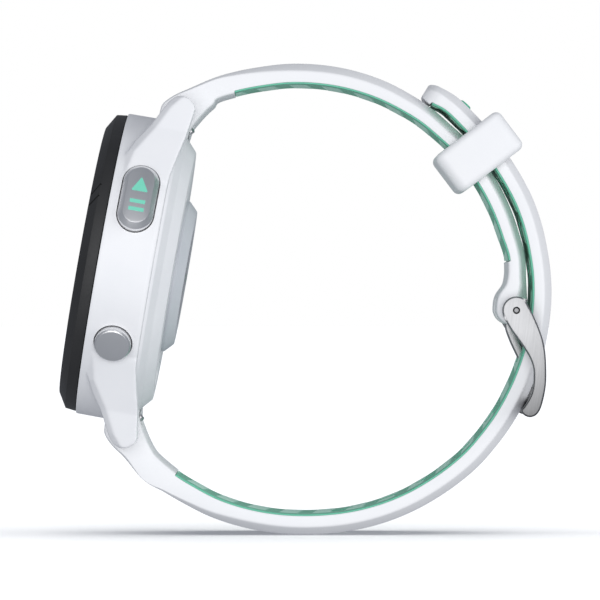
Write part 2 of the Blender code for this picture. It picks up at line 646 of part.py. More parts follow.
# Pin bore and tongue notch in the rolled end.
PIN = frame((PIN_X, 0, PIN_Z), Vector((1, 0, 0)), Vector((0, 0, 1)), Vector((0, -1, 0)))
combine(strap_short, turned("pin_bore", [(0, 12), (0.95, 12), (0.95, -12), (0, -12)], 12, PIN,
                            None))
combine(strap_short, block("tongue_notch", (24.0, -1.6, 26.0), (34.0, 1.6, 32.55),
                           Matrix.Identity(4), None))

# ================================================================ buckle
FRAME_EDGE = [(30.10, 31.86), (31.08, 30.04), (32.11, 27.57), (32.63, 25.49), (32.81, 23.15),
              (32.77, 20.54), (32.25, 17.94), (31.6, 16.63), (30.69, 16.19), (29.85, 16.45),
              (29.45, 17.1), (30.03, 17.9), (30.83, 19.4), (31.13, 21.2), (31.05, 23.0),
              (30.45, 24.58), (29.38, 26.26), (27.96, 28.22), (27.05, 29.9)]
HEAD = [(PIN_X + 1.9 * math.cos(math.radians(a)), PIN_Z + 1.9 * math.sin(math.radians(a)))
        for a in range(200, 39, -20)]
SWING = Matrix.Translation((PIN_X * MM, 0, PIN_Z * MM)) @ Matrix.Rotation(
    math.radians(-BUCKLE_SWING_DEG), 4, 'Y') @ Matrix.Translation((-PIN_X * MM, 0, -PIN_Z * MM))
PIN_HOLE = circle(0.5, 14, PIN_X, PIN_Z)
frame_a = plate("buckle_frame", FRAME_EDGE + HEAD, PLATE_IN, PLATE_OUT, SIDE, "steel",
                holes=[PIN_HOLE])
frame_b = plate("buckle_far_plate", FRAME_EDGE + HEAD, -PLATE_OUT, -PLATE_IN, SIDE, None,
                holes=[PIN_HOLE])
# The crossbar lies along the strap's outer face, with a seat for the tongue.
BAR_C, BAR_T = Vector((31.03, 17.5)), Vector((0.472, 0.882))
BAR_O = Vector((0.882, -0.472))
rest_bar = frame((BAR_C.x, 0, BAR_C.y), Vector((BAR_T.x, 0, BAR_T.y)), Vector((0, 1, 0)),
                 Vector((BAR_T.x, 0, BAR_T.y)).cross(Vector((0, 1, 0))))
if rest_bar.col[2].x < 0:
    rest_bar = frame((BAR_C.x, 0, BAR_C.y), Vector((BAR_T.x, 0, BAR_T.y)), Vector((0, -1, 0)),
                     Vector((BAR_O.x, 0, BAR_O.y)))
crossbar = block("buckle_crossbar", (-1.1, -10.2, -0.8), (1.1, 10.2, 0.8), rest_bar, None,
                 bevel=0.25)
seat = block("tongue_seat", (-2.0, -1.55, -0.3), (2.0, 1.55, 2.0), rest_bar, None)
combine(frame_a, frame_b, 'UNION')
combine(frame_a, crossbar, 'UNION')
combine(frame_a, seat)

TONGUE_MID = [(28.77, 30.73, 1.3), (28.2, 28.9, 1.3), (28.75, 26.9, 1.3), (30.05, 24.1, 1.3),
              (31.3, 21.3, 1.25), (32.05, 19.4, 1.15), (32.05, 18.0, 1.05), (31.55, 16.8, 0.9)]
path = [(x, z, t) for x, z, t in smooth_path(TONGUE_MID, 3)]


def tongue_outline(grow):
    """The tongue seen from the side, its thickness grown on both faces."""
    grown = [(x, z, t + 2 * grow) for x, z, t in path]
    pairs = sides(grown, 1)
    k0 = next(k for k, p in enumerate(grown)
              if math.hypot(p[0] - PIN_X, p[1] - PIN_Z) > 1.35 + grow)
    left = [p[0] for p in pairs[k0:]]
    right = [p[1] for p in pairs[k0:]]
    a0 = math.atan2(right[0][1] - PIN_Z, right[0][0] - PIN_X)
    a1 = math.atan2(left[0][1] - PIN_Z, left[0][0] - PIN_X)
    lo, hi = sorted((a0, a1))
    first_pt, last_pt = (left[0], right[0]) if a1 == hi else (right[0], left[0])
    down = left if a1 == hi else right
    up = right if a1 == hi else left
    r = 1.45 + grow
    arc = []
    n = 10
    for k in range(1, n):
        a = hi + (2 * math.pi - (hi - lo)) * k / n
        arc.append((PIN_X + r * math.cos(a), PIN_Z + r * math.sin(a)))
    return list(reversed(down)) + arc + up


tongue = plate("buckle_tongue", tongue_outline(0.0), -1.2, 1.2, SIDE, "steel",
               holes=[circle(0.95, 14, PIN_X, PIN_Z)])
turned("buckle_pin", [(0, 11.3), (0.28, 11.3), (PIN_END_R, 11.22), (PIN_END_R, 9.0), (PIN_R, 9.0),
                      (PIN_R, -9.0), (PIN_END_R, -9.0), (PIN_END_R, -11.22), (0.28, -11.3),
                      (0, -11.3)], 14, PIN, "steel")

# The slot that the tongue pierces, at rest and swung, through strap and liner.
for k, swing in enumerate((Matrix.Identity(4), SWING)):
    plate("tongue_slot_%d" % (k + 1), tongue_outline(0.35), -1.55 - 0.06 * k, 1.55 + 0.06 * k,
          swing @ SIDE, None, coll=HOLES)

# Adjustment holes, a pitch apart either side of the slot.
pierced = min(long_mid, key=lambda q: math.hypot(q[0][0] - 30.4, q[0][1] - 22.6))[1]
for k in range(-5, 6):
    if k == 0:
        continue
    s = pierced + k * HOLE_PITCH + (0.9 if k > 0 else -0.6)
    j = min(range(len(long_mid) - 1), key=lambda q: abs(long_mid[q][1] - s))
    if long_mid[j][1] > s:
        j -= 1
    (p, sa), (q, sb) = long_mid[j], long_mid[j + 1]
    f = (s - sa) / (sb - sa)
    x, z = p[0] + (q[0] - p[0]) * f, p[1] + (q[1] - p[1]) * f
    t = Vector((q[0] - p[0], 0, q[1] - p[1])).normalized()
    hole_at = frame((x, 0, z), t, Vector((0, 1, 0)), t.cross(Vector((0, 1, 0))))
    rings = [[(a, b, h) for a, b in pill(HOLE_L, HOLE_W, 10)] for h in (-4.0, 4.0)]
    loft("strap_hole_%d" % (k + 6), rings, hole_at, None, coll=HOLES)

for ob in (strap_long, liner_long):
    m = ob.modifiers.new("holes", 'BOOLEAN')
    m.operation = 'DIFFERENCE'
    m.solver = 'EXACT'
    m.operand_type = 'COLLECTION'
    m.collection = HOLES

# ================================================================ keeper and stop
ka = math.radians(KEEPER_ANGLE)
radial = Vector((math.cos(ka), 0, math.sin(ka)))
along3 = Vector((-math.sin(ka), 0, math.cos(ka)))
# Local X radial, local Y across the strap, local Z down the strap.
keep_at = frame((KEEPER_X, 0, KEEPER_Z), radial, Vector((0, 1, 0)),
                radial.cross(Vector((0, 1, 0))))


def rounded(hx, hy, r, n=3):
    pts = []
    for cx, cy, a0 in ((hx - r, hy - r, 0), (r - hx, hy - r, 90), (r - hx, r - hy, 180),
                       (hx - r, r - hy, 270)):
        for k in range(n + 1):
            a = math.radians(a0 + 90 * k / n)
            pts.append((cx + r * math.cos(a), cy + r * math.sin(a)))
    return pts


rim = [(-3.12, 0.22), (-2.9, 0.0), (2.9, 0.0), (3.12, 0.22)]
outer_rings = [[(x, y, z) for x, y in rounded(5.5 - c, 10.4 - c, 1.5)] for z, c in rim]
keeper = loft("keeper", outer_rings, keep_at, "white_silicone")
inner = loft("keeper_window", [[(x + 0.05, y, z) for x, y in rounded(4.05, 8.9, 0.8)]
                               for z in (-5.0, 5.0)], keep_at, None)
combine(keeper, inner)

j = min(range(len(long)), key=lambda q: math.hypot(long[q][0][0] - 21.7, long[q][0][1] - 58.9))
o_pt = Vector((long[j][0][0], 0, long[j][0][1]))
i_pt = Vector((long[j][1][0], 0, long[j][1][1]))
up_dir = (o_pt - i_pt).normalized()
side_dir = up_dir.cross(Vector((0, 1, 0)))
nub_at = frame(o_pt, side_dir, Vector((0, 1, 0)), side_dir.cross(Vector((0, 1, 0))))
flip = 1.0 if (nub_at.to_3x3() @ Vector((0, 0, 1))).dot(up_dir) > 0 else -1.0
turn_y = nub_at @ Matrix.Rotation(math.pi / 2, 4, 'Z')
stack("keeper_stop_nub", [(flip * -1.2, 1.9, 0.8), (flip * 0.12, 1.9, 0.8), (flip * 0.12, 3.4, 1.8),
                          (flip * 0.3, 3.3, 1.7), (flip * 0.45, 2.9, 1.3)], turn_y,
      "green_silicone")
combine(strap_long, stack("nub_hole", [(flip * -1.4, 2.2, 1.1), (flip * 1.5, 2.2, 1.1)], turn_y,
                          None))
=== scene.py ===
"""Looks for the running watch: fine shapes and procedural materials over the CAD frame."""
import json
import math

import bmesh
import bpy
import numpy as np
from mathutils import Matrix, Vector, noise

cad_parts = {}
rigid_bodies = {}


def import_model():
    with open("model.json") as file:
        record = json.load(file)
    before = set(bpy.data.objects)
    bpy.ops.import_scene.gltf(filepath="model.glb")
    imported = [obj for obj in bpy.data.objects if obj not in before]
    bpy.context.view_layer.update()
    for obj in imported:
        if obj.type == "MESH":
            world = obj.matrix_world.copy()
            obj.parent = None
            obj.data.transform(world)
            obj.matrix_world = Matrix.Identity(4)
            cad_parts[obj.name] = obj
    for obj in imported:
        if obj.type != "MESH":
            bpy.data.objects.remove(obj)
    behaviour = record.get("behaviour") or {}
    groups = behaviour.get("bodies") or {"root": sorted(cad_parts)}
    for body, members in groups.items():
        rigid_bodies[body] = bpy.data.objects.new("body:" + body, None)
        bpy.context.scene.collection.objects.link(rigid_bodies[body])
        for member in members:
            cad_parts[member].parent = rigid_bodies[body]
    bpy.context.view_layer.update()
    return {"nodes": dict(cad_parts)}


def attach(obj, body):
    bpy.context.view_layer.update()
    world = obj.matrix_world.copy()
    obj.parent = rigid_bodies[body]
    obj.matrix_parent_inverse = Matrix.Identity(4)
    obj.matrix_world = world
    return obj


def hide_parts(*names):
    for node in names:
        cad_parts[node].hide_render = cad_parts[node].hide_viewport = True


for ob in list(bpy.data.objects):
    bpy.data.objects.remove(ob, do_unlink=True)

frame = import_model()
NODES = frame["nodes"]
MM = 0.001

# ------------------------------------------------------------------ frames
C = Vector((-28.02, 0.0, 37.21))
LEAN = math.radians(10.0)
U = Vector((math.sin(LEAN), 0.0, math.cos(LEAN)))
N = Vector((math.cos(LEAN), 0.0, -math.sin(LEAN)))
X3 = Vector((0.0, -1.0, 0.0))
ID = Matrix.Identity(4)


def place(origin, x, y, z):
    m = Matrix.Identity(4)
    for i in range(3):
        m[i][0], m[i][1], m[i][2], m[i][3] = x[i], y[i], z[i], origin[i] * MM
    return m


CASE = place(C, X3, U, -N)
CASE_SIDE = place(C, U, -N, X3)
SIDE = place((0, 0, 0), Vector((1, 0, 0)), Vector((0, 0, 1)), Vector((0, -1, 0)))
BUTTONS = {"start": 27.0, "back": -29.5, "light": 150.0, "up": 180.0, "down": 210.0}
BUTTON_N = 3.95


def shift(x, y, z):
    return Matrix.Translation((x * MM, y * MM, z * MM))


def button_frame(angle_deg):
    a = math.radians(angle_deg)
    z = X3 * math.cos(a) + U * math.sin(a)
    x = -X3 * math.sin(a) + U * math.cos(a)
    return place(C + N * BUTTON_N, x, -N, z)


def case_point(u, n):
    p = C + U * u + N * n
    return p.x, p.z


# ------------------------------------------------------------------ materials
def node(nt, kind, **inputs):
    n = nt.nodes.new(kind)
    for k, v in inputs.items():
        n.inputs[k.replace("_", " ")].default_value = v
    return n


def new_material(name, rough=0.5, metal=0.0, **sockets):
    m = bpy.data.materials.new(name)
    m.use_nodes = True
    b = m.node_tree.nodes["Principled BSDF"]
    b.inputs["Roughness"].default_value = rough
    b.inputs["Metallic"].default_value = metal
    for k, v in sockets.items():
        b.inputs[k.replace("_", " ")].default_value = v
    return m, m.node_tree, b


def coords_mm(nt, stretch=(1, 1, 1), uv=None):
    """Object coordinates in millimetres, or the named strap coordinates."""
    mp = nt.nodes.new("ShaderNodeMapping")
    if uv:
        src = nt.nodes.new("ShaderNodeUVMap")
        src.uv_map = uv
        nt.links.new(src.outputs["UV"], mp.inputs["Vector"])
        mp.inputs["Scale"].default_value = stretch
    else:
        src = nt.nodes.new("ShaderNodeTexCoord")
        nt.links.new(src.outputs["Object"], mp.inputs["Vector"])
        mp.inputs["Scale"].default_value = tuple(1000.0 * s for s in stretch)
    return mp.outputs["Vector"]


def ramp(nt, source, stops, interp='LINEAR'):
    r = nt.nodes.new("ShaderNodeValToRGB")
    r.color_ramp.interpolation = interp
    els = r.color_ramp.elements
    while len(els) < len(stops):
        els.new(0.5)
    for e, (p, c) in zip(els, stops):
        e.position = p
        e.color = (*c, 1.0) if len(c) == 3 else c
    nt.links.new(source, r.inputs["Fac"])
    return r.outputs["Color"]


def noise_of(nt, vec, scale, detail=3.0, rough=0.55):
    n = nt.nodes.new("ShaderNodeTexNoise")
    n.inputs["Scale"].default_value = scale
    n.inputs["Detail"].default_value = detail
    n.inputs["Roughness"].default_value = rough
    nt.links.new(vec, n.inputs["Vector"])
    return n.outputs["Fac"]


def remap(nt, source, a, b):
    r = nt.nodes.new("ShaderNodeMapRange")
    r.inputs["To Min"].default_value = a
    r.inputs["To Max"].default_value = b
    nt.links.new(source, r.inputs["Value"])
    return r.outputs["Result"]


def bump(nt, bsdf, height, strength, distance_mm, previous=None):
    b = nt.nodes.new("ShaderNodeBump")
    b.inputs["Strength"].default_value = strength
    b.inputs["Distance"].default_value = distance_mm * MM
    nt.links.new(height, b.inputs["Height"])
    if previous is not None:
        nt.links.new(previous, b.inputs["Normal"])
    nt.links.new(b.outputs["Normal"], bsdf.inputs["Normal"])
    return b.outputs["Normal"]


def moulded(name, dark, light, rough=(0.4, 0.5), grain=4.0, grain_strength=0.15,
            grain_mm=0.02, cloud=0.12, **sockets):
    """Moulded polymer or silicone: faint clouding in colour, grain in gloss and bump."""
    m, nt, b = new_material(name, **sockets)
    v = coords_mm(nt)
    big = noise_of(nt, v, cloud, 3.0)
    nt.links.new(ramp(nt, big, [(0.3, dark), (0.7, light)]), b.inputs["Base Color"])
    fine = noise_of(nt, v, grain, 4.0, 0.6)
    nt.links.new(remap(nt, fine, *rough), b.inputs["Roughness"])
    bump(nt, b, fine, grain_strength, grain_mm)
    return m


def brushed(name, dark, light, along, rough=(0.26, 0.42), strength=0.25, metal=1.0, fine=6.0):
    """Brushed metal: grain stretched along one axis given as a rotation of the object frame, with painted
    shade darkening the colour towards low Z.
    """
    m, nt, b = new_material(name, metal=metal)
    src = nt.nodes.new("ShaderNodeTexCoord")
    mp = nt.nodes.new("ShaderNodeMapping")
    mp.vector_type = 'TEXTURE'
    mp.inputs["Rotation"].default_value = along
    mp.inputs["Scale"].default_value = (0.001, 0.001, 0.022)
    nt.links.new(src.outputs["Object"], mp.inputs["Vector"])
    v = mp.outputs["Vector"]
    grain = noise_of(nt, v, fine, 5.0, 0.65)
    tone = ramp(nt, grain, [(0.3, dark), (0.7, light)])
    # Painted shade: the colour is darkened towards low object Z, the crossbar end, standing in for shadow
    # on the lower buckle.
    low = nt.nodes.new("ShaderNodeSeparateXYZ")
    nt.links.new(src.outputs["Object"], low.inputs[0])
    ht = nt.nodes.new("ShaderNodeMapRange")
    ht.inputs["From Min"].default_value, ht.inputs["From Max"].default_value = 0.016, 0.028
    nt.links.new(low.outputs["Z"], ht.inputs["Value"])
    shade = ramp(nt, ht.outputs["Result"], [(0.0, (0.40, 0.40, 0.40)), (1.0, (1.0, 1.0, 1.0))])
    mix = nt.nodes.new("ShaderNodeMix")
    mix.data_type, mix.blend_type = 'RGBA', 'MULTIPLY'
    mix.inputs[0].default_value = 1.0
    nt.links.new(tone, mix.inputs[6])
    nt.links.new(shade, mix.inputs[7])
    nt.links.new(mix.outputs[2], b.inputs["Base Color"])
    nt.links.new(remap(nt, grain, *rough), b.inputs["Roughness"])
    bump(nt, b, grain, strength, 0.01)
    return m


WHITE = moulded("white_polymer", (0.845, 0.85, 0.87), (0.885, 0.885, 0.90), rough=(0.36, 0.46),
                grain=5.0, grain_strength=0.08, grain_mm=0.012, Specular_IOR_Level=0.5)
BACK = moulded("grey_back_polymer", (0.78, 0.785, 0.81), (0.83, 0.835, 0.855), rough=(0.42, 0.56),
               grain=4.0, grain_strength=0.2, grain_mm=0.02)
BUMP = moulded("grey_sensor_polymer", (0.58, 0.60, 0.64), (0.64, 0.655, 0.69), rough=(0.3, 0.4),
               grain=5.0, grain_strength=0.08, grain_mm=0.01)
BLACK = moulded("black_textured_polymer", (0.014, 0.014, 0.015), (0.023, 0.023, 0.024),
                rough=(0.5, 0.68), grain=3.2, grain_strength=0.55, grain_mm=0.04)
RUBBER = moulded("black_elastomer", (0.015, 0.015, 0.016), (0.028, 0.028, 0.03), rough=(0.6, 0.75),
                 grain=4.0, grain_strength=0.25, grain_mm=0.02)
DARK = moulded("dark_inner_polymer", (0.025, 0.025, 0.028), (0.05, 0.05, 0.055), rough=(0.45, 0.6),
               grain=3.0, grain_strength=0.2, grain_mm=0.02)
BOARD = moulded("board_laminate", (0.01, 0.09, 0.04), (0.02, 0.16, 0.08), rough=(0.35, 0.5),
                grain=2.0, grain_strength=0.2, grain_mm=0.02, cloud=0.6)
FOIL = moulded("battery_pouch", (0.45, 0.45, 0.47), (0.6, 0.6, 0.62), rough=(0.28, 0.42),
               grain=1.2, grain_strength=0.3, grain_mm=0.05, metal=0.9)
GOLD = moulded("gold_plating", (0.72, 0.50, 0.20), (0.86, 0.64, 0.30), rough=(0.18, 0.32),
               grain=6.0, grain_strength=0.1, grain_mm=0.01, metal=1.0)
STEEL = moulded("plain_steel", (0.50, 0.50, 0.51), (0.62, 0.62, 0.63), rough=(0.22, 0.36),
                grain=6.0, grain_strength=0.1, grain_mm=0.01, metal=1.0)
SATIN = moulded("satin_button_metal", (0.78, 0.78, 0.785), (0.88, 0.88, 0.885), rough=(0.30, 0.40),
                grain=7.0, grain_strength=0.22, grain_mm=0.014, metal=1.0)
BUCKLE = brushed("brushed_buckle_steel", (0.31, 0.31, 0.315), (0.385, 0.385, 0.39),
                 (0.0, math.radians(8.0), 0.0), rough=(0.34, 0.42), strength=0.08)
MINT = moulded("mint_print", (0.17, 0.62, 0.46), (0.21, 0.70, 0.53), rough=(0.45, 0.6), grain=5.0,
               grain_strength=0.1, grain_mm=0.01)
# A faint glow, fitting the lit display arc; on the start button's printed marks it is painted light.
MINT.node_tree.nodes["Principled BSDF"].inputs["Emission Color"].default_value = (0.2, 0.85, 0.6, 1)
MINT.node_tree.nodes["Principled BSDF"].inputs["Emission Strength"].default_value = 0.03
PIN_METAL = moulded("dark_pin_steel", (0.16, 0.16, 0.165), (0.22, 0.22, 0.225), rough=(0.34, 0.45),
                    grain=6.0, grain_strength=0.1, grain_mm=0.01, metal=1.0)


def silicone(name, dark, light):
    """White silicone: soft gloss and a fine tooth, broken by faint handling marks."""
    m, nt, b = new_material(name, Sheen_Weight=0.12, Sheen_Roughness=0.5)
    v = coords_mm(nt)
    big = noise_of(nt, v, 0.09, 4.0)
    nt.links.new(ramp(nt, big, [(0.3, dark), (0.72, light)]), b.inputs["Base Color"])
    fine = noise_of(nt, v, 2.6, 3.0, 0.6)
    marks = noise_of(nt, v, 0.45, 4.0, 0.6)
    nt.links.new(remap(nt, marks, 0.42, 0.62), b.inputs["Roughness"])
    bump(nt, b, fine, 0.16, 0.02)
    return m


STRAP = silicone("white_silicone", (0.855, 0.86, 0.875), (0.89, 0.89, 0.90))


def liner_material():
    """Mint liner: slanted raised pads, with painted light making them lighter and painted shade darkening
    the channels between them.
    """
    m, nt, b = new_material("mint_liner_silicone", Sheen_Weight=0.1, Sheen_Roughness=0.5)
    uv = coords_mm(nt, uv="strap")
    sep = nt.nodes.new("ShaderNodeSeparateXYZ")
    nt.links.new(uv, sep.inputs[0])
    # The pad's height is stored with the mesh, so the painted light on the pads and the painted shade in
    # the channels follow the relief.
    at = nt.nodes.new("ShaderNodeAttribute")
    at.attribute_name = "pad"
    grain = noise_of(nt, coords_mm(nt), 0.8, 4.0)
    mix = nt.nodes.new("ShaderNodeMath")
    mix.operation = 'MULTIPLY_ADD'
    nt.links.new(grain, mix.inputs[0])
    mix.inputs[1].default_value = 0.22
    nt.links.new(at.outputs["Fac"], mix.inputs[2])
    nt.links.new(ramp(nt, mix.outputs[0], [(0.12, (0.09, 0.50, 0.31)), (0.5, (0.20, 0.62, 0.45)),
                                           (0.95, (0.50, 0.85, 0.69))]), b.inputs["Base Color"])
    fine = noise_of(nt, coords_mm(nt), 3.0, 3.0)
    nt.links.new(remap(nt, fine, 0.5, 0.66), b.inputs["Roughness"])
    bump(nt, b, fine, 0.15, 0.02)
    return m


LINER = liner_material()


def glass_material():
    m, nt, b = new_material("lens_glass", rough=0.03, Transmission_Weight=1.0, IOR=1.5)
    v = coords_mm(nt)
    wipe = noise_of(nt, v, 0.25, 3.0)
    nt.links.new(remap(nt, wipe, 0.02, 0.06), b.inputs["Roughness"])
    nt.links.new(ramp(nt, wipe, [(0.2, (0.93, 0.95, 0.95)), (0.8, (0.97, 0.98, 0.98))]),
                 b.inputs["Base Color"])
    return m


def dark_glass():
    m, nt, b = new_material("sensor_window_glass", rough=0.06, Coat_Weight=0.6)
    v = coords_mm(nt)
    wipe = noise_of(nt, v, 0.4, 3.0)
    nt.links.new(ramp(nt, wipe, [(0.2, (0.008, 0.008, 0.010)), (0.8, (0.018, 0.017, 0.020))]),
                 b.inputs["Base Color"])
    nt.links.new(remap(nt, wipe, 0.05, 0.13), b.inputs["Roughness"])
    return m


GLASS = glass_material()
WINDOW = dark_glass()


# ------------------------------------------------------------------ makers
def soften(pts, r, n=4, closed=False, keep=()):
    """Rounds the corners of a list of (x, y) points."""
    out, m = [], len(pts)
    for i, p in enumerate(pts):
        if (not closed and i in (0, m - 1)) or i in keep:
            out.append(tuple(p))
            continue
        a, b, c = Vector(pts[i - 1]), Vector(p), Vector(pts[(i + 1) % m])
        da, dc = a - b, c - b
        la, lc = da.length, dc.length
        if la < 1e-6 or lc < 1e-6:
            continue
        da.normalize()
        dc.normalize()
        ang = math.acos(max(-1.0, min(1.0, da.dot(dc))))
        if ang > math.radians(172):
            out.append(tuple(p))
            continue
        t = min(r / max(math.tan(ang / 2), 1e-3), 0.45 * la, 0.45 * lc)
        p0, p2 = b + da * t, b + dc * t
        for k in range(n + 1):
            u = k / n
            q = p0 * (1 - u) ** 2 + b * (2 * u * (1 - u)) + p2 * (u * u)
            out.append((q.x, q.y))
    return out


def mesh_object(name, bm, where, sharp=34.0):
    bmesh.ops.recalc_face_normals(bm, faces=bm.faces)
    if bm.calc_volume(signed=True) < 0:
        bmesh.ops.reverse_faces(bm, faces=bm.faces)
    me = bpy.data.meshes.new(name)
    bm.to_mesh(me)
    bm.free()
    ob = bpy.data.objects.new(name, me)
    bpy.context.scene.collection.objects.link(ob)
    me.transform(where)
    me.shade_smooth()
    me.set_sharp_from_angle(angle=math.radians(sharp))
    return ob


def turned(name, profile, steps, where=CASE, ring=False, sharp=34.0):
    """A profile of (radius, height) in millimetres turned about local Z."""
    bm = bmesh.new()
    rows = []
    for r, z in profile:
        if abs(r) < 1e-6:
            rows.append([bm.verts.new((0, 0, z * MM))])
        else:
            rows.append([bm.verts.new((r * math.cos(2 * math.pi * k / steps) * MM,
                                       r * math.sin(2 * math.pi * k / steps) * MM, z * MM))
                         for k in range(steps)])
    pairs = list(zip(rows, rows[1:])) + ([(rows[-1], rows[0])] if ring else [])
    for a, b in pairs:
        for k in range(steps):
            j = (k + 1) % steps
            if len(a) == 1 and len(b) == 1:
                continue
            if len(a) == 1:
                bm.faces.new((a[0], b[k], b[j]))
            elif len(b) == 1:
                bm.faces.new((a[k], a[j], b[0]))
            else:
                bm.faces.new((a[k], a[j], b[j], b[k]))
    return mesh_object(name, bm, where, sharp)


def loft(name, rings, where=ID, sharp=34.0, uvs=None, closed=False, layer=None):
    """Skins rings of equal count; uvs and layer give one value per ring point."""
    bm = bmesh.new()
    uv_layer = bm.loops.layers.uv.new("strap") if uvs is not None else None
    lay = bm.verts.layers.float.new("pad") if layer is not None else None
    rows = [[bm.verts.new((p[0] * MM, p[1] * MM, p[2] * MM)) for p in ring] for ring in rings]
    k = len(rings[0])
    if layer is not None:
        for row, vals in zip(rows, layer):
            for v, x in zip(row, vals):
                v[lay] = x
    spans = list(zip(range(len(rows) - 1), range(1, len(rows))))
    if closed:
        spans.append((len(rows) - 1, 0))
    for ia, ib in spans:
        a, b = rows[ia], rows[ib]
        for i in range(k):
            j = (i + 1) % k
            f = bm.faces.new((a[i], a[j], b[j], b[i]))
            if uv_layer is not None:
                for loop, (r_, c_) in zip(f.loops, ((ia, i), (ia, j), (ib, j), (ib, i))):
                    loop[uv_layer].uv = uvs[r_][c_]
    if not closed:
        bm.faces.new(list(reversed(rows[0])))
        bm.faces.new(rows[-1])
    return mesh_object(name, bm, where, sharp)


def plate(name, outline, z0, z1, where, holes=(), bevel=0.0, sharp=34.0):
    """A flat outline of (x, y), z0 to z1 thick, its rim rounded by bevel."""
    cu = bpy.data.curves.new(name, 'CURVE')
    cu.dimensions = '2D'
    cu.fill_mode = 'BOTH'
    cu.extrude = (abs(z1 - z0) * 0.5 - bevel) * MM
    if bevel:
        cu.bevel_depth = bevel * MM
        cu.bevel_resolution = 3
        cu.offset = -bevel * MM
    for pts in [outline, *holes]:
        sp = cu.splines.new('POLY')
        sp.points.add(len(pts) - 1)
        for p, (x, y) in zip(sp.points, pts):
            p.co = (x * MM, y * MM, 0.0, 1.0)
        sp.use_cyclic_u = True
    ob = bpy.data.objects.new(name + "_curve", cu)
    bpy.context.scene.collection.objects.link(ob)
    bpy.context.view_layer.update()
    dg = bpy.context.evaluated_depsgraph_get()
    me = bpy.data.meshes.new_from_object(ob.evaluated_get(dg), depsgraph=dg)
    bpy.data.objects.remove(ob, do_unlink=True)
    bm = bmesh.new()
    bm.from_mesh(me)
    bpy.data.meshes.remove(me)
    bmesh.ops.remove_doubles(bm, verts=bm.verts, dist=2e-6)
    return mesh_object(name, bm, where @ shift(0, 0, (z0 + z1) * 0.5), sharp)


def block(name, lo, hi, where=ID, bevel=0.0, seg=3):
    bm = bmesh.new()
    bmesh.ops.create_cube(bm, size=1.0)
    bmesh.ops.scale(bm, vec=[(h - l) * MM for l, h in zip(lo, hi)], verts=bm.verts)
    bmesh.ops.translate(bm, vec=[(h + l) * 0.5 * MM for l, h in zip(lo, hi)], verts=bm.verts)
    if bevel:
        bmesh.ops.bevel(bm, geom=bm.edges[:], offset=bevel * MM, segments=seg, affect='EDGES',
                        profile=0.5)
    return mesh_object(name, bm, where)


def drop(ob):
    bpy.data.objects.remove(ob, do_unlink=True)


def evaluate(ob, sharp=34.0):
    """Applies an object's modifiers."""
    bpy.context.view_layer.update()
    dg = bpy.context.evaluated_depsgraph_get()
    me = bpy.data.meshes.new_from_object(ob.evaluated_get(dg), depsgraph=dg,
                                         preserve_all_data_layers=True)
    ob.modifiers.clear()
    ob.data = me
    me.shade_smooth()
    if sharp:
        me.set_sharp_from_angle(angle=math.radians(sharp))
    return ob


def carve(ob, tools, how='DIFFERENCE', sharp=34.0):
    """Cuts with, or joins, the tools and then removes them."""
    for t in tools:
        m = ob.modifiers.new("shape", 'BOOLEAN')
        m.operation = how
        m.solver = 'EXACT'
        m.object = t
    evaluate(ob, sharp)
    for t in tools:
        drop(t)
    return ob


def pill(length, width, n=40):
    r, h = width / 2, (length - width) / 2
    pts, half = [], n // 2
    for side in (1, -1):
        for k in range(half):
            a = -math.pi / 2 + math.pi * k / (half - 1) + (0 if side > 0 else math.pi)
            pts.append((side * h + r * math.cos(a), r * math.sin(a)))
    return pts


def circle(r, n, cx=0.0, cy=0.0):
    return [(cx + r * math.cos(2 * math.pi * i / n), cy + r * math.sin(2 * math.pi * i / n))
            for i in range(n)]


def stack(name, levels, where, n=40, sharp=34.0):
    return loft(name, [[(x, y, z) for x, y in pill(l, w, n)] for z, l, w in levels], where, sharp)


def dress(ob, material, body, slot=None, *nodes):
    ob.data.materials.clear()
    ob.data.materials.append(material)
    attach(ob, body)
    if nodes:
        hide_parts(*nodes)
    return ob




# ================================================================== the case
# Mid-frame: ring and four sculpted lugs, blended, then bored and pocketed.
LUG_SIDE = [(9.6, -0.7), (11.7, -0.65), (14.9, -1.0), (17.4, -2.2), (19.7, -3.75),
            (22.2, -5.0), (23.3, -5.6), (24.05, -6.3), (24.35, -7.1), (24.15, -8.1),
            (23.6, -8.85), (22.9, -9.3), (18.8, -8.7), (16.0, -8.1), (13.5, -7.6),
            (9.6, -7.3)]
LUG_PLAN = [(9.0, 16.5), (15.4, 11.0), (17.5, 11.6), (15.5, 15.8), (13.75, 19.5),
            (12.85, 22.6), (12.45, 24.0), (11.9, 25.5), (9.0, 25.5)]
LUG_CHAMFER = [(u, (x + z - 0.85) / math.sqrt(2)) for u, x, z in (
    (9.0, 18.6, -0.65), (12.0, 17.4, -0.67), (15.8, 15.5, -1.38), (19.5, 13.75, -3.65),
    (22.6, 12.85, -5.18), (24.0, 12.45, -6.3), (25.5, 11.8, -8.3))] + [(25.5, -20.0), (9.0, -20.0)]
ring = turned("midframe_ring", soften([
    (16.9, 0.9), (20.6, 0.9), (20.98, -0.3), (21.0, -3.7), (20.98, -7.1), (20.85, -7.5),
    (16.9, -7.5)], 0.4, 3, closed=True), 160, ring=True)
lugs = []
for sx in (1, -1):
    for su in (1, -1):
        outward = CASE_SIDE if sx > 0 else CASE_SIDE @ shift(0, 0, -26.0)
        side = plate("lug_side", [(su * u, z) for u, z in soften(LUG_SIDE, 0.9, 4, True)],
                     8.0, 18.0, outward)
        plan = plate("lug_plan", [(sx * x, su * u) for x, u in soften(LUG_PLAN, 0.8, 4, True)],
                     -11.0, 1.0, CASE)
        x_, y_ = Vector((0, su, 0)), Vector((sx, 0, 1)).normalized()
        chamfer = plate("lug_chamfer", LUG_CHAMFER, -30.0, 30.0,
                        CASE @ place((0, 0, 0), x_, y_, x_.cross(y_)))
        lugs.append(carve(side, [plan, chamfer], 'INTERSECT'))
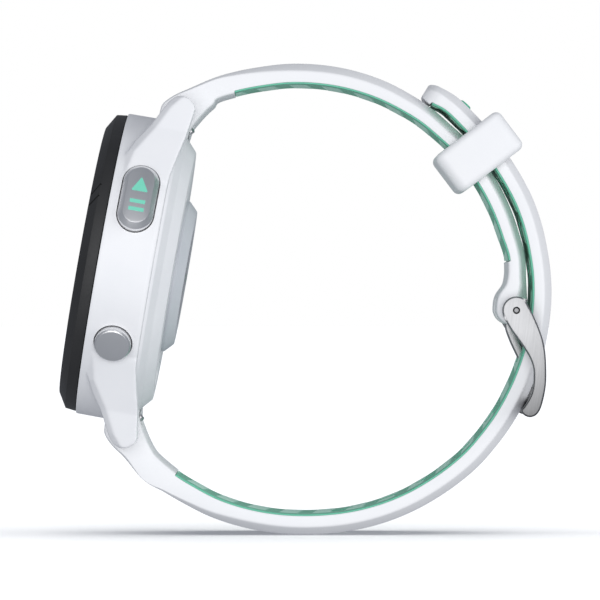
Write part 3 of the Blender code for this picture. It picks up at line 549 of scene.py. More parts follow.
carve(ring, lugs, 'UNION')
re = ring.modifiers.new("blend", 'REMESH')
re.mode = 'VOXEL'
re.voxel_size = 0.00017
sm = ring.modifiers.new("ease", 'SMOOTH')
sm.factor = 0.5
sm.iterations = 5
evaluate(ring, None)
tools = [turned("well", [(0, 1.0), (17.6, 1.0), (17.6, -7.35), (20.72, -7.35), (20.42, -7.95),
                         (18.95, -8.95), (18.95, -13.0), (0, -13.0)], 160),
         block("front_trim", (-26, -26, -0.12), (26, 26, 4.0), CASE)]
for name, angle in BUTTONS.items():
    bf = button_frame(angle)
    if name == "start":
        tools.append(stack("pocket", [(19.2, 10.08, 5.18), (20.7, 10.08, 5.18),
                                      (24.0, 10.5, 5.6)], bf, 56))
    else:
        tools.append(turned("pocket", [(0, 24.0), (2.9, 24.0), (2.64, 20.8), (2.64, 19.2),
                                       (0, 19.2)], 56, bf))
    tools.append(turned("bore", [(0, 20.0), (1.15, 20.0), (1.15, 16.2), (0, 16.2)], 24, bf))
for su in (1, -1):
    at = CASE @ shift(0, su * 22.0, -7.2) @ Matrix.Rotation(math.pi / 2, 4, 'Y')
    tools.append(turned("lug_hole", [(0, 10.6), (0.55, 10.6), (0.55, -10.6), (0, -10.6)], 24, at))
carve(ring, tools, 'DIFFERENCE', 38.0)
ring.name = "case_shell"
dress(ring, WHITE, "case", "case_shell", "case_midframe")

# Bezel: two facets, with the pointer notch cut beside the start button.
bezel = turned("bezel_ring", soften([
    (20.7, 0.0), (16.2, 0.0), (16.2, 0.7), (17.35, 0.7), (17.35, 2.4), (17.55, 2.6),
    (18.6, 2.6), (20.52, 1.45)], 0.10, 2, closed=True), 240, ring=True)
cuts = []
for a0, tilt in ((29.6, 24.0), (24.6, 24.0)):
    a = math.radians(a0)
    at = CASE @ Matrix.Rotation(a, 4, 'Z') @ shift(19.75, 0, 2.05) @ Matrix.Rotation(
        math.radians(-31.0), 4, 'Y').inverted() @ Matrix.Rotation(math.radians(tilt), 4, 'Z')
    cuts.append(block("notch", (-1.15, -0.15, -0.35), (1.15, 0.15, 1.2), at))
carve(bezel, cuts)
dress(bezel, BLACK, "case", "bezel_polymer", "bezel")

lens = turned("lens_crystal", soften([(0, 2.5), (16.9, 2.5), (17.2, 2.2), (17.2, 1.4), (0, 1.4)],
                                     0.12, 3), 160)
dress(lens, GLASS, "case", "lens", "lens_glass")

# The display, with a plain dial: hour bars, minute dots, hands and a progress arc.
panel = turned("display_disc", [(0, 1.10), (15.9, 1.10), (15.9, 0.35), (0, 0.35)], 128)
SCREEN = moulded("screen_face", (0.012, 0.014, 0.016), (0.02, 0.023, 0.026), rough=(0.22, 0.3),
                 grain=8.0, grain_strength=0.05, grain_mm=0.005)
dress(panel, SCREEN, "case", "display", "display_panel")


def dial(name, shapes, material):
    bm = bmesh.new()
    for pts in shapes:
        lo = [bm.verts.new((x * MM, y * MM, 1.12 * MM)) for x, y in pts]
        hi = [bm.verts.new((x * MM, y * MM, 1.17 * MM)) for x, y in pts]
        bm.faces.new(hi)
        bm.faces.new(list(reversed(lo)))
        for i in range(len(pts)):
            j = (i + 1) % len(pts)
            bm.faces.new((lo[i], lo[j], hi[j], hi[i]))
    return dress(mesh_object(name, bm, CASE), material, "case", "display")


def bar(angle, r0, r1, w0, w1=None):
    a = math.radians(90 - angle)
    c, s = math.cos(a), math.sin(a)
    w1 = w0 if w1 is None else w1
    return [(r0 * c + w0 * s, r0 * s - w0 * c), (r1 * c + w1 * s, r1 * s - w1 * c),
            (r1 * c - w1 * s, r1 * s + w1 * c), (r0 * c - w0 * s, r0 * s + w0 * c)]


LIT = moulded("dial_white", (0.70, 0.72, 0.72), (0.80, 0.82, 0.82), rough=(0.4, 0.5), grain=6.0,
              grain_strength=0.05, grain_mm=0.005)
LIT.node_tree.nodes["Principled BSDF"].inputs["Emission Color"].default_value = (0.8, 0.85, 0.85, 1)
LIT.node_tree.nodes["Principled BSDF"].inputs["Emission Strength"].default_value = 0.25
dial("dial_bars", [bar(30 * k, 11.4 if k % 3 else 10.6, 13.2, 0.28 if k % 3 else 0.42)
                   for k in range(12)]
     + [bar(6 * k, 12.7, 13.2, 0.09) for k in range(60) if k % 5]
     + [bar(-50, -1.2, 7.2, 0.55, 0.3), bar(62, -1.6, 10.4, 0.42, 0.22)], LIT)
arc = []
for k in range(0, 64):
    a0, a1 = math.radians(150 - k * 3.0), math.radians(150 - k * 3.0 - 2.4)
    arc.append([(13.5 * math.cos(a0), 13.5 * math.sin(a0)), (13.5 * math.cos(a1), 13.5 * math.sin(a1)),
                (13.95 * math.cos(a1), 13.95 * math.sin(a1)), (13.95 * math.cos(a0), 13.95 * math.sin(a0))])
dial("dial_arc", [list(reversed(p)) for p in arc] + [circle(0.75, 24)]
     + [bar(210, -1.5, 10.8, 0.12, 0.08)], MINT)

# Back cover with screw wells and charging pocket.
cover = turned("back_shell", soften([
    (17.3, -7.5), (17.95, -7.5), (17.95, -8.0), (18.85, -8.0), (18.85, -7.44), (20.68, -7.44),
    (20.36, -7.93), (18.82, -8.8), (17.3, -10.15), (10.65, -10.15), (10.65, -9.0),
    (13.6, -9.0), (13.9, -8.5), (16.9, -8.5)], 0.22, 3, closed=True), 200, ring=True)
tools = []
SCREWS = []
for i in range(4):
    a = math.radians(45 + 90 * i)
    at = CASE @ shift(15.4 * math.cos(a), 15.4 * math.sin(a), 0)
    SCREWS.append(at)
    tools.append(turned("sink", [(0, -6.5), (0.75, -6.5), (0.75, -9.3), (1.45, -9.3),
                                 (1.45, -10.05), (1.6, -11.0), (0, -11.0)], 40, at))
dock_at = CASE @ shift(0, -13.8, 0)
tools.append(stack("dock", [(-9.55, 8.2, 3.6), (-10.0, 8.2, 3.6), (-11.0, 8.9, 4.3)], dock_at, 48))
for i in range(4):
    tools.append(turned("bore", [(0, -8.0), (0.56, -8.0), (0.56, -9.9), (0, -9.9)], 24,
                        dock_at @ shift(-2.55 + 1.7 * i, 0, 0)))
carve(cover, tools)
dress(cover, BACK, "case", "back_shell", "back_cover")
for i, at in enumerate(SCREWS):
    screw = turned("cover_screw_%d" % (i + 1), soften([
        (0, -6.6), (0.55, -6.6), (0.55, -9.38), (1.3, -9.38), (1.3, -9.95), (1.15, -10.1),
        (0, -10.1)], 0.08, 2), 40, at)
    carve(screw, [block("slot", (-0.85, -0.14, -10.5), (0.85, 0.14, -9.8), at),
                  block("cross", (-0.14, -0.85, -10.5), (0.14, 0.85, -9.8), at)])
    dress(screw, STEEL, "case", "steel", "back_screw_%d" % (i + 1))
    pad_ = turned("contact_pad_%d" % (i + 1), soften([
        (0, -8.3), (0.5, -8.3), (0.5, -9.42), (0.4, -9.54), (0, -9.54)], 0.05, 2), 28,
        dock_at @ shift(-2.55 + 1.7 * i, 0, 0))
    dress(pad_, GOLD, "case", "contact_gold", "charge_contact_%d" % (i + 1))

# Sensor bump and its window.
hump = turned("sensor_hump", soften([
    (0, -10.4), (9.3, -10.4), (9.3, -8.3), (11.6, -8.3), (11.6, -8.85), (10.55, -8.85),
    (10.5, -10.55), (9.25, -11.73), (6.75, -11.73), (6.75, -11.1), (0, -11.1)], 0.3, 4), 160)
dress(hump, BUMP, "case", "bump_shell", "sensor_housing")
window = turned("sensor_window", soften([(0, -11.2), (6.68, -11.2), (6.68, -11.73), (0, -11.73)],
                                        0.08, 3), 128)
dress(window, WINDOW, "case", "sensor_window", "sensor_glass")
# Emitters and detectors seen as shapes under the window's face.
LED = moulded("sensor_led", (0.16, 0.30, 0.22), (0.26, 0.42, 0.33), rough=(0.2, 0.3), grain=4.0,
              grain_strength=0.1, grain_mm=0.01)
DET = moulded("sensor_detector", (0.05, 0.05, 0.07), (0.10, 0.10, 0.13), rough=(0.1, 0.2),
              grain=4.0, grain_strength=0.1, grain_mm=0.01)
for i in range(4):
    a = math.radians(90 * i)
    for kind, r_, sz, mt in (("led", 1.5, 0.55, LED), ("detector", 4.2, 0.95, DET)):
        at = CASE @ shift(r_ * math.cos(a), r_ * math.sin(a), 0)
        dot = block("%s_%d" % (kind, i + 1), (-sz, -sz, -11.738), (sz, sz, -11.72), at)
        dress(dot, mt, "case", "sensor_window")

# ================================================================== buttons
STEM = [(0.85, 19.9), (0.85, 18.95), (0.55, 18.95), (0.55, 18.25), (0.85, 18.25),
        (0.85, 17.42), (0.55, 17.42), (0.55, 16.98), (0.85, 16.98), (0.85, 16.75), (0, 16.75)]
for name, angle in BUTTONS.items():
    bf = button_frame(angle)
    key = name + "_key"
    if name == "start":
        cap = stack("start_cap", [(19.95, 9.7, 4.8), (20.9, 9.8, 4.9), (21.12, 9.7, 4.8),
                                  (21.82, 8.62, 3.72), (21.92, 8.42, 3.52),
                                  (21.95, 8.2, 3.3)], bf, 72, 24.0)
        # A start and stop pictogram in thin print on the face.
        tri = [(2.75, 0.0), (0.55, 1.15), (0.55, -1.15)]
        bars = [[(-0.75, 1.05), (-0.75, -1.05), (-1.3, -1.05), (-1.3, 1.05)],
                [(-1.95, 1.05), (-1.95, -1.05), (-2.5, -1.05), (-2.5, 1.05)]]
        for k, shape in enumerate([soften(tri, 0.14, 3, True)] + [soften(b_, 0.1, 3, True)
                                                                  for b_ in bars]):
            mark = plate("start_mark_%d" % (k + 1), shape, 21.945, 21.985, bf)
            dress(mark, MINT, key, "button_metal")
    else:
        cap = turned(name + "_cap", soften([
            (0, 21.95), (2.25, 21.95), (2.475, 21.72), (2.5, 20.6), (2.475, 19.95), (0, 19.95)],
            0.1, 3), 72, bf, sharp=24.0)
    dress(cap, SATIN, key, "button_metal", name + "_button")
    stem = turned(name + "_stem", [(0, 20.2), (0.85, 20.2)] + STEM[1:], 32, bf)
    dress(stem, STEEL, key, "button_metal")

# ================================================================== spring bars
for su, tag in ((1, "upper"), (-1, "lower")):
    d = (U * (-2.05 * su) + N * 1.75).normalized()
    z = -X3
    at = place(C + U * (su * 22.0) + N * 7.2, d, z.cross(d), z)
    tube = turned("bar_tube_" + tag, [(0, 10.2), (0.45, 10.2)] + soften([
        (0.45, 10.2), (0.45, 8.6), (0.9, 8.6), (0.9, -8.5), (0.55, -8.5), (0.55, 1.0)], 0.08, 2)
        [1:] + [(0, 1.0)], 40, at)
    carve(tube, [block("slot", (0.0, -0.5, -4.1), (2.0, 0.5, -1.1), at, 0.2)])
    dress(tube, STEEL, "case", "steel", "spring_bar_" + tag)
    pin = turned("lever_rod_" + tag, soften([(0, -1.4), (0.4, -1.4), (0.4, -10.2), (0, -10.2)],
                                            0.1, 2), 28, at)
    dress(pin, STEEL, "release_" + tag, "steel", "quick_release_lever_" + tag)
    knob = turned("lever_knob_" + tag, [(0, 3.1)] + soften([
        (0, 3.1), (0.45, 3.1), (0.55, 2.85), (0.55, 2.5), (0.36, 2.3), (0.36, 0.0)], 0.08, 2)[1:]
        + [(0, 0.0)], 28, at @ shift(0, 0, -3.4) @ Matrix.Rotation(math.pi / 2, 4, 'Y'))
    dress(knob, STEEL, "release_" + tag)


# ================================================================== strap
def smooth_path(points, steps):
    out = []
    for i in range(len(points) - 1):
        p0 = points[max(i - 1, 0)]
        p1, p2 = points[i], points[i + 1]
        p3 = points[min(i + 2, len(points) - 1)]
        for k in range(steps):
            t = k / steps
            out.append(tuple(
                0.5 * ((2 * b) + (c - a) * t + (2 * a - 5 * b + 4 * c - d_) * t * t
                       + (3 * b - a - 3 * c + d_) * t ** 3)
                for a, b, c, d_ in zip(p0, p1, p2, p3)))
    out.append(tuple(points[-1]))
    return out


def resample(path, step):
    dist = [0.0]
    for a, b in zip(path, path[1:]):
        dist.append(dist[-1] + math.hypot(b[0] - a[0], b[1] - a[1]))
    n = max(2, round(dist[-1] / step))
    out, j = [], 0
    for i in range(n + 1):
        s = dist[-1] * i / n
        while j < len(dist) - 2 and dist[j + 1] < s:
            j += 1
        f = (s - dist[j]) / max(dist[j + 1] - dist[j], 1e-9)
        f = min(max(f, 0.0), 1.0)
        out.append(tuple(a + (b - a) * f for a, b in zip(path[j], path[j + 1])))
    return out, dist[-1]


def sides(mid, outward):
    pairs = []
    for i, p in enumerate(mid):
        a, b = mid[max(i - 1, 0)], mid[min(i + 1, len(mid) - 1)]
        tx, tz = b[0] - a[0], b[1] - a[1]
        k = math.hypot(tx, tz)
        nx, nz = -tz / k * outward, tx / k * outward
        h = p[2] / 2
        pairs.append(((p[0] + nx * h, p[1] + nz * h), (p[0] - nx * h, p[1] - nz * h)))
    return pairs


def root_pairs(su):
    table = [((18.9, 4.55), (18.9, 8.75)), ((21.9, 4.5), (20.1, 8.95)),
             ((23.0, 4.75), (21.8, 9.9)), ((24.4, 6.1), (23.1, 10.75)),
             ((25.5, 7.7), (24.0, 11.45))]
    return [(case_point(su * o[0], o[1]), case_point(su * i[0], i[1])) for o, i in table]


def bevel_at(s):
    return min(1.0, max(0.06, s / 15.0))


SHORT_MID = [(-12.52, 60.93, 2.9), (-9.18, 61.96, 2.95), (-2.47, 63.01, 3.0), (4.10, 62.61, 3.0),
             (10.21, 60.87, 2.95), (15.64, 57.94, 2.8), (19.2, 55.05, 2.7), (22.2, 52.1, 2.7),
             (25.28, 47.55, 2.7), (26.55, 45.1, 2.7), (27.53, 42.57, 2.7), (28.36, 40.02, 2.6),
             (28.98, 37.47, 2.5), (28.98, 34.76, 2.7), (28.5, 32.6, 3.6), (28.42, 31.9, 4.2),
             (28.4, 31.2, 4.5)]
LONG_MID = [(-21.31, 9.26, 3.6), (-18.4, 7.16, 3.1), (-12.28, 3.78, 3.0), (-5.71, 1.93, 3.0),
            (0.87, 1.5, 3.0), (7.25, 2.19, 3.0), (13.22, 4.08, 3.0), (18.57, 7.07, 3.0),
            (23.23, 10.9, 3.0), (26.9, 15.58, 3.0), (28.41, 18.11, 3.0), (29.67, 20.76, 3.0),
            (30.73, 23.49, 3.0), (31.53, 26.3, 2.95), (32.06, 29.2, 2.9), (32.36, 32.14, 2.85),
            (32.34, 35.09, 2.8), (32.0, 38.07, 2.8), (31.38, 41.0, 2.8), (30.61, 43.94, 2.8),
            (29.35, 46.73, 2.8), (27.76, 49.6, 2.8), (25.2, 53.3, 2.8), (22.09, 56.88, 2.8),
            (19.8, 59.0, 2.8), (16.6, 61.0, 2.8)]
COARSE = 3.4


def station_list(which):
    """The band's stations at the frame's own spacing, each (outer, inner, width, bevel)."""
    su = 1 if which == "short" else -1
    src = SHORT_MID if which == "short" else LONG_MID
    mid, length = resample(smooth_path(src, 6), COARSE)
    st = [(o, i, 17.6, 0.06 + 0.05 * k) for k, (o, i) in enumerate(root_pairs(su))]
    for k, (o, i) in enumerate(sides(mid, su)):
        s = length * k / (len(mid) - 1)
        if which == "short":
            s += 4.0
            w = 17.6 - 0.6 * min(1.0, s / 20.0)
            w += 0.6 * max(0.0, (s - length + 8.0) / 12.0)
        else:
            w = 17.6 - 0.6 * min(1.0, s / 25.0) - 0.6 * min(1.0, max(0.0, (s - 75.0) / 40.0))
            if k == len(mid) - 1:
                continue
        st.append((o, i, w, bevel_at(s)))
    if which == "short":
        for deg in (8, 20, 32, 44, 54, 63, 71, 78):
            a = math.radians(deg)
            c, z = 2.28 * math.cos(a), 31.0 - 2.28 * math.sin(a)
            st.append(((28.4 + c - 0.02, z), (28.4 - c, z), 17.5, 0.25 * math.cos(a) + 0.05))
    else:
        tip, before = Vector(mid[-1][:2]), Vector(mid[-2][:2])
        along = (tip - before).normalized()
        across = Vector((along.y, -along.x))
        for back, w, th in ((1.6, 15.95, 2.78), (1.1, 15.4, 2.7), (0.7, 14.6, 2.52),
                            (0.4, 13.6, 2.28), (0.15, 12.2, 2.0), (0.0, 10.4, 1.6)):
            c = tip - along * back - across * 0.1
            o, i = c + across * (th / 2), c - across * (th / 2)
            st.append(((o.x, o.y), (i.x, i.y), w, 0.8))
    return st


def fine_stations(coarse, step):
    """Stations a small step apart, with the distance along the band of each."""
    flat = [np.array((*(0.5 * (a + b) for a, b in zip(o, i)), *o, *i, w, f))
            for o, i, w, f in coarse]
    gaps = [max(float(np.hypot(*(q - p)[:2])), 1e-6) for p, q in zip(flat, flat[1:])]
    slopes = []
    for k in range(len(flat)):
        if k == 0:
            slopes.append((flat[1] - flat[0]) / gaps[0])
        elif k == len(flat) - 1:
            slopes.append((flat[k] - flat[k - 1]) / gaps[k - 1])
        else:
            g0, g1 = gaps[k - 1], gaps[k]
            slopes.append(((flat[k] - flat[k - 1]) / g0 * g1 + (flat[k + 1] - flat[k]) / g1 * g0)
                          / (g0 + g1))
    path = []
    for k, g in enumerate(gaps):
        n = max(2, int(math.ceil(g / step)))
        for j in range(n):
            t = j / n
            h0, h1 = 2 * t ** 3 - 3 * t ** 2 + 1, t ** 3 - 2 * t ** 2 + t
            h2, h3 = -2 * t ** 3 + 3 * t ** 2, t ** 3 - t ** 2
            path.append(tuple(float(x) for x in h0 * flat[k] + h1 * g * slopes[k]
                              + h2 * flat[k + 1] + h3 * g * slopes[k + 1]))
    path.append(tuple(float(x) for x in flat[-1]))
    pts, length = resample(path, step)
    n = len(pts) - 1
    return [((p[2], p[3]), (p[4], p[5]), p[6], p[7]) for p in pts], [length * k / n
                                                                     for k in range(n + 1)]


def arc_pts(cx, cy, r, a0, a1, n):
    return [(cx + r * math.cos(math.radians(a0 + (a1 - a0) * k / n)),
             cy + r * math.sin(math.radians(a0 + (a1 - a0) * k / n))) for k in range(n + 1)]


def half_section(h, th, t0, hb, rb, edge):
    """Right half of the band's section as (y, t), from the inner face to the outer face."""
    pts = [(0.0, t0), (h * 0.5, t0)]
    e = min(edge, 0.4 * (th - hb - t0) + 0.02)
    pts += arc_pts(h - e, t0 + e, e, -90, 0, 3)
    side_top = th - hb
    r = min(0.28, 0.3 * hb + 0.02, 0.3 * (side_top - t0))
    a, b, c = Vector((h, side_top - r)), Vector((h, side_top)), Vector((h - rb, th))
    d = (c - b).normalized()
    b2 = b + d * r
    for k in range(4):
        u = k / 3
        q = a * (1 - u) ** 2 + b * (2 * u * (1 - u)) + b2 * (u * u)
        pts.append((q.x, q.y))
    pts.append(tuple((b2 + c) * 0.5))
    r2 = min(0.5, 0.3 * rb)
    p = c - d * r2
    for k in range(4):
        u = k / 3
        q = p * (1 - u) ** 2 + c * (2 * u * (1 - u)) + Vector((c.x - r2, th)) * (u * u)
        pts.append((q.x, q.y))
    inner = c.x - r2
    for k in range(1, 9):
        pts.append((inner * (1 - k / 8.0), th))
    return pts


RIB_PITCH, RIB_H = 0.37, 0.03


def band_rings(stations, dist, lined, rib_from=3.0, rib_to=1e9):
    rings = []
    for (o, i, w, f), s, has in zip(stations, dist, lined):
        th = math.hypot(o[0] - i[0], o[1] - i[1])
        hb, rb = min(1.1 * f, 0.45 * th), min(2.6 * f, 0.3 * w)
        t0 = 0.35 if has else 0.0
        right = half_section(w / 2, th, t0, hb, rb, 0.10 if has else 0.35)
        ease = min(1.0, max(0.0, (s - rib_from) / 2.0)) * min(1.0, max(0.0, (rib_to - s) / 2.0))
        full = []
        for k, (y, t) in enumerate(right):
            lift = 0.0
            if t > th - hb * 0.55:
                lift = RIB_H * ease * 0.5 * (1 - math.cos(2 * math.pi * s / RIB_PITCH))
            full.append((y, t - lift))
        section = full[:-1] + [(0.0, full[-1][1])] + [(-y, t) for y, t in reversed(full[1:-1])]
        rings.append([(i[0] + (o[0] - i[0]) * t / th, -y, i[1] + (o[1] - i[1]) * t / th)
                      for y, t in section])
    return rings


PAD_PITCH, PAD_LIGHT, PAD_SLANT, PAD_HALF = 4.7, 2.6, 0.07, 6.4


def pad_at(s, y, half):
    ph = ((s + PAD_SLANT * y) / PAD_PITCH) % 1.0
    d_ = abs(ph - 0.5) * PAD_PITCH
    lengthwise = min(1.0, max(0.0, (PAD_LIGHT * 0.5 + 0.18 - d_) / 0.36))
    edge = min(1.0, max(0.0, (PAD_HALF - abs(y)) / 0.4))
    return lengthwise * edge


def liner_rings(stations, dist, t_in=0.0):
    rings, uvs, pads = [], [], []
    for (o, i, w, f), s in zip(stations, dist):
        th = math.hypot(o[0] - i[0], o[1] - i[1])
        h, lt = w / 2 - 0.03, 0.33
        n = 36
        section, vals = [], []
        for k in range(n + 1):
            y = -h + 0.14 + (2 * h - 0.28) * k / n
            p = pad_at(s, y, h)
            section.append((y, 0.12 * (1 - p)))
            vals.append(p)
        # The rim takes low pad values and so gets the same painted shade as the channels.
        section += [(h - 0.06, 0.13), (h, 0.18), (h, lt), (-h, lt), (-h, 0.18), (-h + 0.06, 0.13)]
        vals += [0.15, 0.2, 0.2, 0.2, 0.2, 0.15]
        rings.append([(i[0] + (o[0] - i[0]) * t / th, -y, i[1] + (o[1] - i[1]) * t / th)
                      for y, t in section])
        uvs.append([(s, y) for y, t in section])
        pads.append(vals)
    return rings, uvs, pads


def lower_station(stations, dist, test):
    return next(k for k, st in enumerate(stations) if test(st, dist[k]))


STEP = 0.125
straps = {}
for which in ("short", "long"):
    coarse = station_list(which)
    fine, dist = fine_stations(coarse, STEP)
    # The liner starts at the seventh coarse station and ends near the buckle or the tip.
    first_mid = Vector([0.5 * (a + b) for a, b in zip(coarse[6][0], coarse[6][1])])
    start = min(range(len(fine)), key=lambda k: (Vector(
        [0.5 * (a + b) for a, b in zip(fine[k][0], fine[k][1])]) - first_mid).length)
    start -= 6 if which == "short" else 0
    if which == "short":
        stop = max(k for k, st in enumerate(fine) if st[1][1] > 37.3 and st[1][0] > 20)
    else:
        stop = lower_station(fine, dist, lambda st, s: s > dist[-1] - 1.5)
    lined = [start < k < stop for k in range(len(fine))]
    st2, di2, li2 = [], [], []
    for k in range(len(fine)):
        st2.append(fine[k])
        di2.append(dist[k])
        li2.append(lined[k])
    straps[which] = (fine, dist, start, stop)
    body = loft("band_" + which, band_rings(st2, di2, li2, 3.0,
                                            dist[-1] - (9.0 if which == "short" else 1.2)),
                sharp=40.0)
    rings, uvs, pads = liner_rings(fine[start + 1:stop - 1], dist[start + 1:stop - 1])
    lin = loft("lining_" + which, rings, uvs=uvs, layer=pads, sharp=50.0)
    straps[which] += (body, lin)

short_body, short_lin = straps["short"][4:]
long_body, long_lin = straps["long"][4:]


def clearance():
    return turned("strap_clearance", [
        (0, 3.0), (21.22, 3.0), (21.22, -7.75), (20.72, -8.1), (19.12, -9.15), (17.57, -10.6),
        (17.57, -14.0), (0, -14.0)], 120)


PIN = place((28.77, 0, 30.73), Vector((1, 0, 0)), Vector((0, 0, 1)), Vector((0, -1, 0)))
for su, tag, strap in ((1, "upper", short_body), (-1, "lower", long_body)):
    bar_at = CASE @ shift(0, su * 22.0, -7.2) @ Matrix.Rotation(math.pi / 2, 4, 'Y')
    d = (U * (-2.05 * su) + N * 1.75).normalized()
    z = -X3
    at = place(C + U * (su * 22.0) + N * 7.2, d, z.cross(d), z)
    cutters = [clearance(),
               turned("bar_bore", [(0, 12), (1.05, 12), (1.05, -12), (0, -12)], 40, bar_at),
               block("window", (0.3, -1.0, -4.3), (5.5, 1.0, -0.8), at, 0.3)]
    if strap is short_body:
        cutters += [turned("pin_bore", [(0, 12), (0.95, 12), (0.95, -12), (0, -12)], 32, PIN),
                    block("notch", (24.0, -1.6, 26.0), (34.0, 1.6, 32.5), ID, 0.25)]
        carve(strap, cutters, sharp=40.0)
    else:
        long_cutters = cutters

# ================================================================== buckle
PIN_X, PIN_Z = 28.77, 30.73
FRAME_EDGE = [(30.10, 31.86), (31.08, 30.04), (32.11, 27.57), (32.63, 25.49), (32.81, 23.15),
              (32.77, 20.54), (32.25, 17.94), (31.6, 16.63), (30.69, 16.19), (29.85, 16.45),
              (29.45, 17.1), (30.03, 17.9), (30.83, 19.4), (31.13, 21.2), (31.05, 23.0),
              (30.45, 24.58), (29.38, 26.26), (27.96, 28.22), (27.05, 29.9)]
HEAD = [(PIN_X + 1.9 * math.cos(math.radians(a)), PIN_Z + 1.9 * math.sin(math.radians(a)))
        for a in range(200, 39, -10)]


def closed_smooth(points, steps):
    n = len(points)
    out = []
    for i in range(n):
        p0, p1, p2, p3 = (points[(i + k) % n] for k in (-1, 0, 1, 2))
        for k in range(steps):
            t = k / steps
            out.append(tuple(0.5 * ((2 * b) + (c - a) * t + (2 * a - 5 * b + 4 * c - d_) * t * t
                                    + (3 * b - a - 3 * c + d_) * t ** 3)
                             for a, b, c, d_ in zip(p0, p1, p2, p3)))
    return out


EDGE = closed_smooth(FRAME_EDGE + HEAD, 4)
plates = []
for z0, z1 in ((9.32, 11.38), (-11.38, -9.32)):
    pl = plate("buckle_side", EDGE, z0, z1, SIDE, bevel=0.26, sharp=30.0)
    plates.append(pl)
BAR_T, BAR_O = Vector((0.472, 0, 0.882)), Vector((0.882, 0, -0.472))
rest_bar = place((31.03, 0, 17.5), BAR_T, Vector((0, -1, 0)), BAR_T.cross(Vector((0, -1, 0))))
flip = 1.0 if Vector(rest_bar.col[2][:3]).dot(BAR_O) > 0 else -1.0
crossbar = block("buckle_bar", (-1.1, -10.2, -0.8), (1.1, 10.2, 0.8), rest_bar, 0.3, 4)
frame_a = plates[0]
carve(frame_a, [plates[1], crossbar], 'UNION', 30.0)
z_lo, z_hi = (-0.3, 2.0) if flip > 0 else (-2.0, 0.3)
carve(frame_a, [block("seat", (-2.0, -1.5, z_lo), (2.0, 1.5, z_hi), rest_bar, 0.2),
                turned("pin_hole", [(0, 12), (0.5, 12), (0.5, -12), (0, -12)], 40, PIN)],
      sharp=30.0)
dress(frame_a, BUCKLE, "buckle", "steel", "buckle_frame")
pin = turned("buckle_pin_rod", soften([(0, 11.34), (0.36, 11.34), (0.36, 9.0), (0.75, 9.0), (0.75, -9.0),
                                       (0.36, -9.0), (0.36, -11.34), (0, -11.34)], 0.1, 3), 40, PIN)
dress(pin, PIN_METAL, "case", "steel", "buckle_pin")

TONGUE_MID = [(28.77, 30.73, 1.3), (28.2, 28.9, 1.3), (28.75, 26.9, 1.3), (30.05, 24.1, 1.3),
              (31.3, 21.3, 1.25), (32.05, 19.4, 1.15), (32.05, 18.0, 1.05), (31.55, 16.8, 0.9)]
tongue_path = smooth_path(TONGUE_MID, 8)


def tongue_outline(grow):
    grown = [(x, z, t + 2 * grow) for x, z, t in tongue_path]
    pairs = sides(grown, 1)
    k0 = next(k for k, p in enumerate(grown)
              if math.hypot(p[0] - PIN_X, p[1] - PIN_Z) > 1.35 + grow)
    left = [p[0] for p in pairs[k0:]]
    right = [p[1] for p in pairs[k0:]]
    a0 = math.atan2(right[0][1] - PIN_Z, right[0][0] - PIN_X)
    a1 = math.atan2(left[0][1] - PIN_Z, left[0][0] - PIN_X)
    lo, hi = sorted((a0, a1))
    down = left if a1 == hi else right
    up = right if a1 == hi else left
    r = 1.45 + grow
    arc = []
    n = 28
    for k in range(1, n):
        a = hi + (2 * math.pi - (hi - lo)) * k / n
        arc.append((PIN_X + r * math.cos(a), PIN_Z + r * math.sin(a)))
    return list(reversed(down)) + arc + up


tongue = plate("buckle_prong", tongue_outline(0.0), -1.2, 1.2, SIDE, bevel=0.3)
carve(tongue, [turned("ring", [(0, 3), (0.9, 3), (0.9, -3), (0, -3)], 36, PIN)])
dress(tongue, BUCKLE, "tongue", "steel", "buckle_tongue")

SWING = Matrix.Translation((PIN_X * MM, 0, PIN_Z * MM)) @ Matrix.Rotation(
    math.radians(-4.0), 4, 'Y') @ Matrix.Translation((-PIN_X * MM, 0, -PIN_Z * MM))
slots = [plate("slot_a", tongue_outline(0.33), -1.53, 1.53, SIDE),
         plate("slot_b", tongue_outline(0.33), -1.57, 1.57, SWING @ SIDE)]
long_mid, long_len = resample(smooth_path(LONG_MID, 6), COARSE)
along_mid = [(p, long_len * k / (len(long_mid) - 1)) for k, p in enumerate(long_mid[:-1])]
pierced = min(along_mid, key=lambda q: math.hypot(q[0][0] - 30.4, q[0][1] - 22.6))[1]
for k in range(-5, 6):
    if k == 0:
        continue
    s = pierced + k * 6.6 + (0.9 if k > 0 else -0.6)
    j = min(range(len(along_mid) - 1), key=lambda q: abs(along_mid[q][1] - s))
    if along_mid[j][1] > s:
        j -= 1
    (p, sa), (q, sb) = along_mid[j], along_mid[j + 1]
    f = (s - sa) / (sb - sa)
    x, z = p[0] + (q[0] - p[0]) * f, p[1] + (q[1] - p[1]) * f
    t = Vector((q[0] - p[0], 0, q[1] - p[1])).normalized()
    hole_at = place((x, 0, z), t, Vector((0, 1, 0)), t.cross(Vector((0, 1, 0))))
    slots.append(loft("strap_hole", [[(a, b, h) for a, b in pill(3.2, 2.6, 28)]
                                     for h in (-4.0, 4.0)], hole_at))


def duplicates(obs):
    out = []
    for ob in obs:
        twin = ob.copy()
        twin.data = ob.data.copy()
        bpy.context.scene.collection.objects.link(twin)
        out.append(twin)
    return out


# The stop nub's place on the tail.
coarse = station_list("long")
SEEN = (21.7, 58.9)


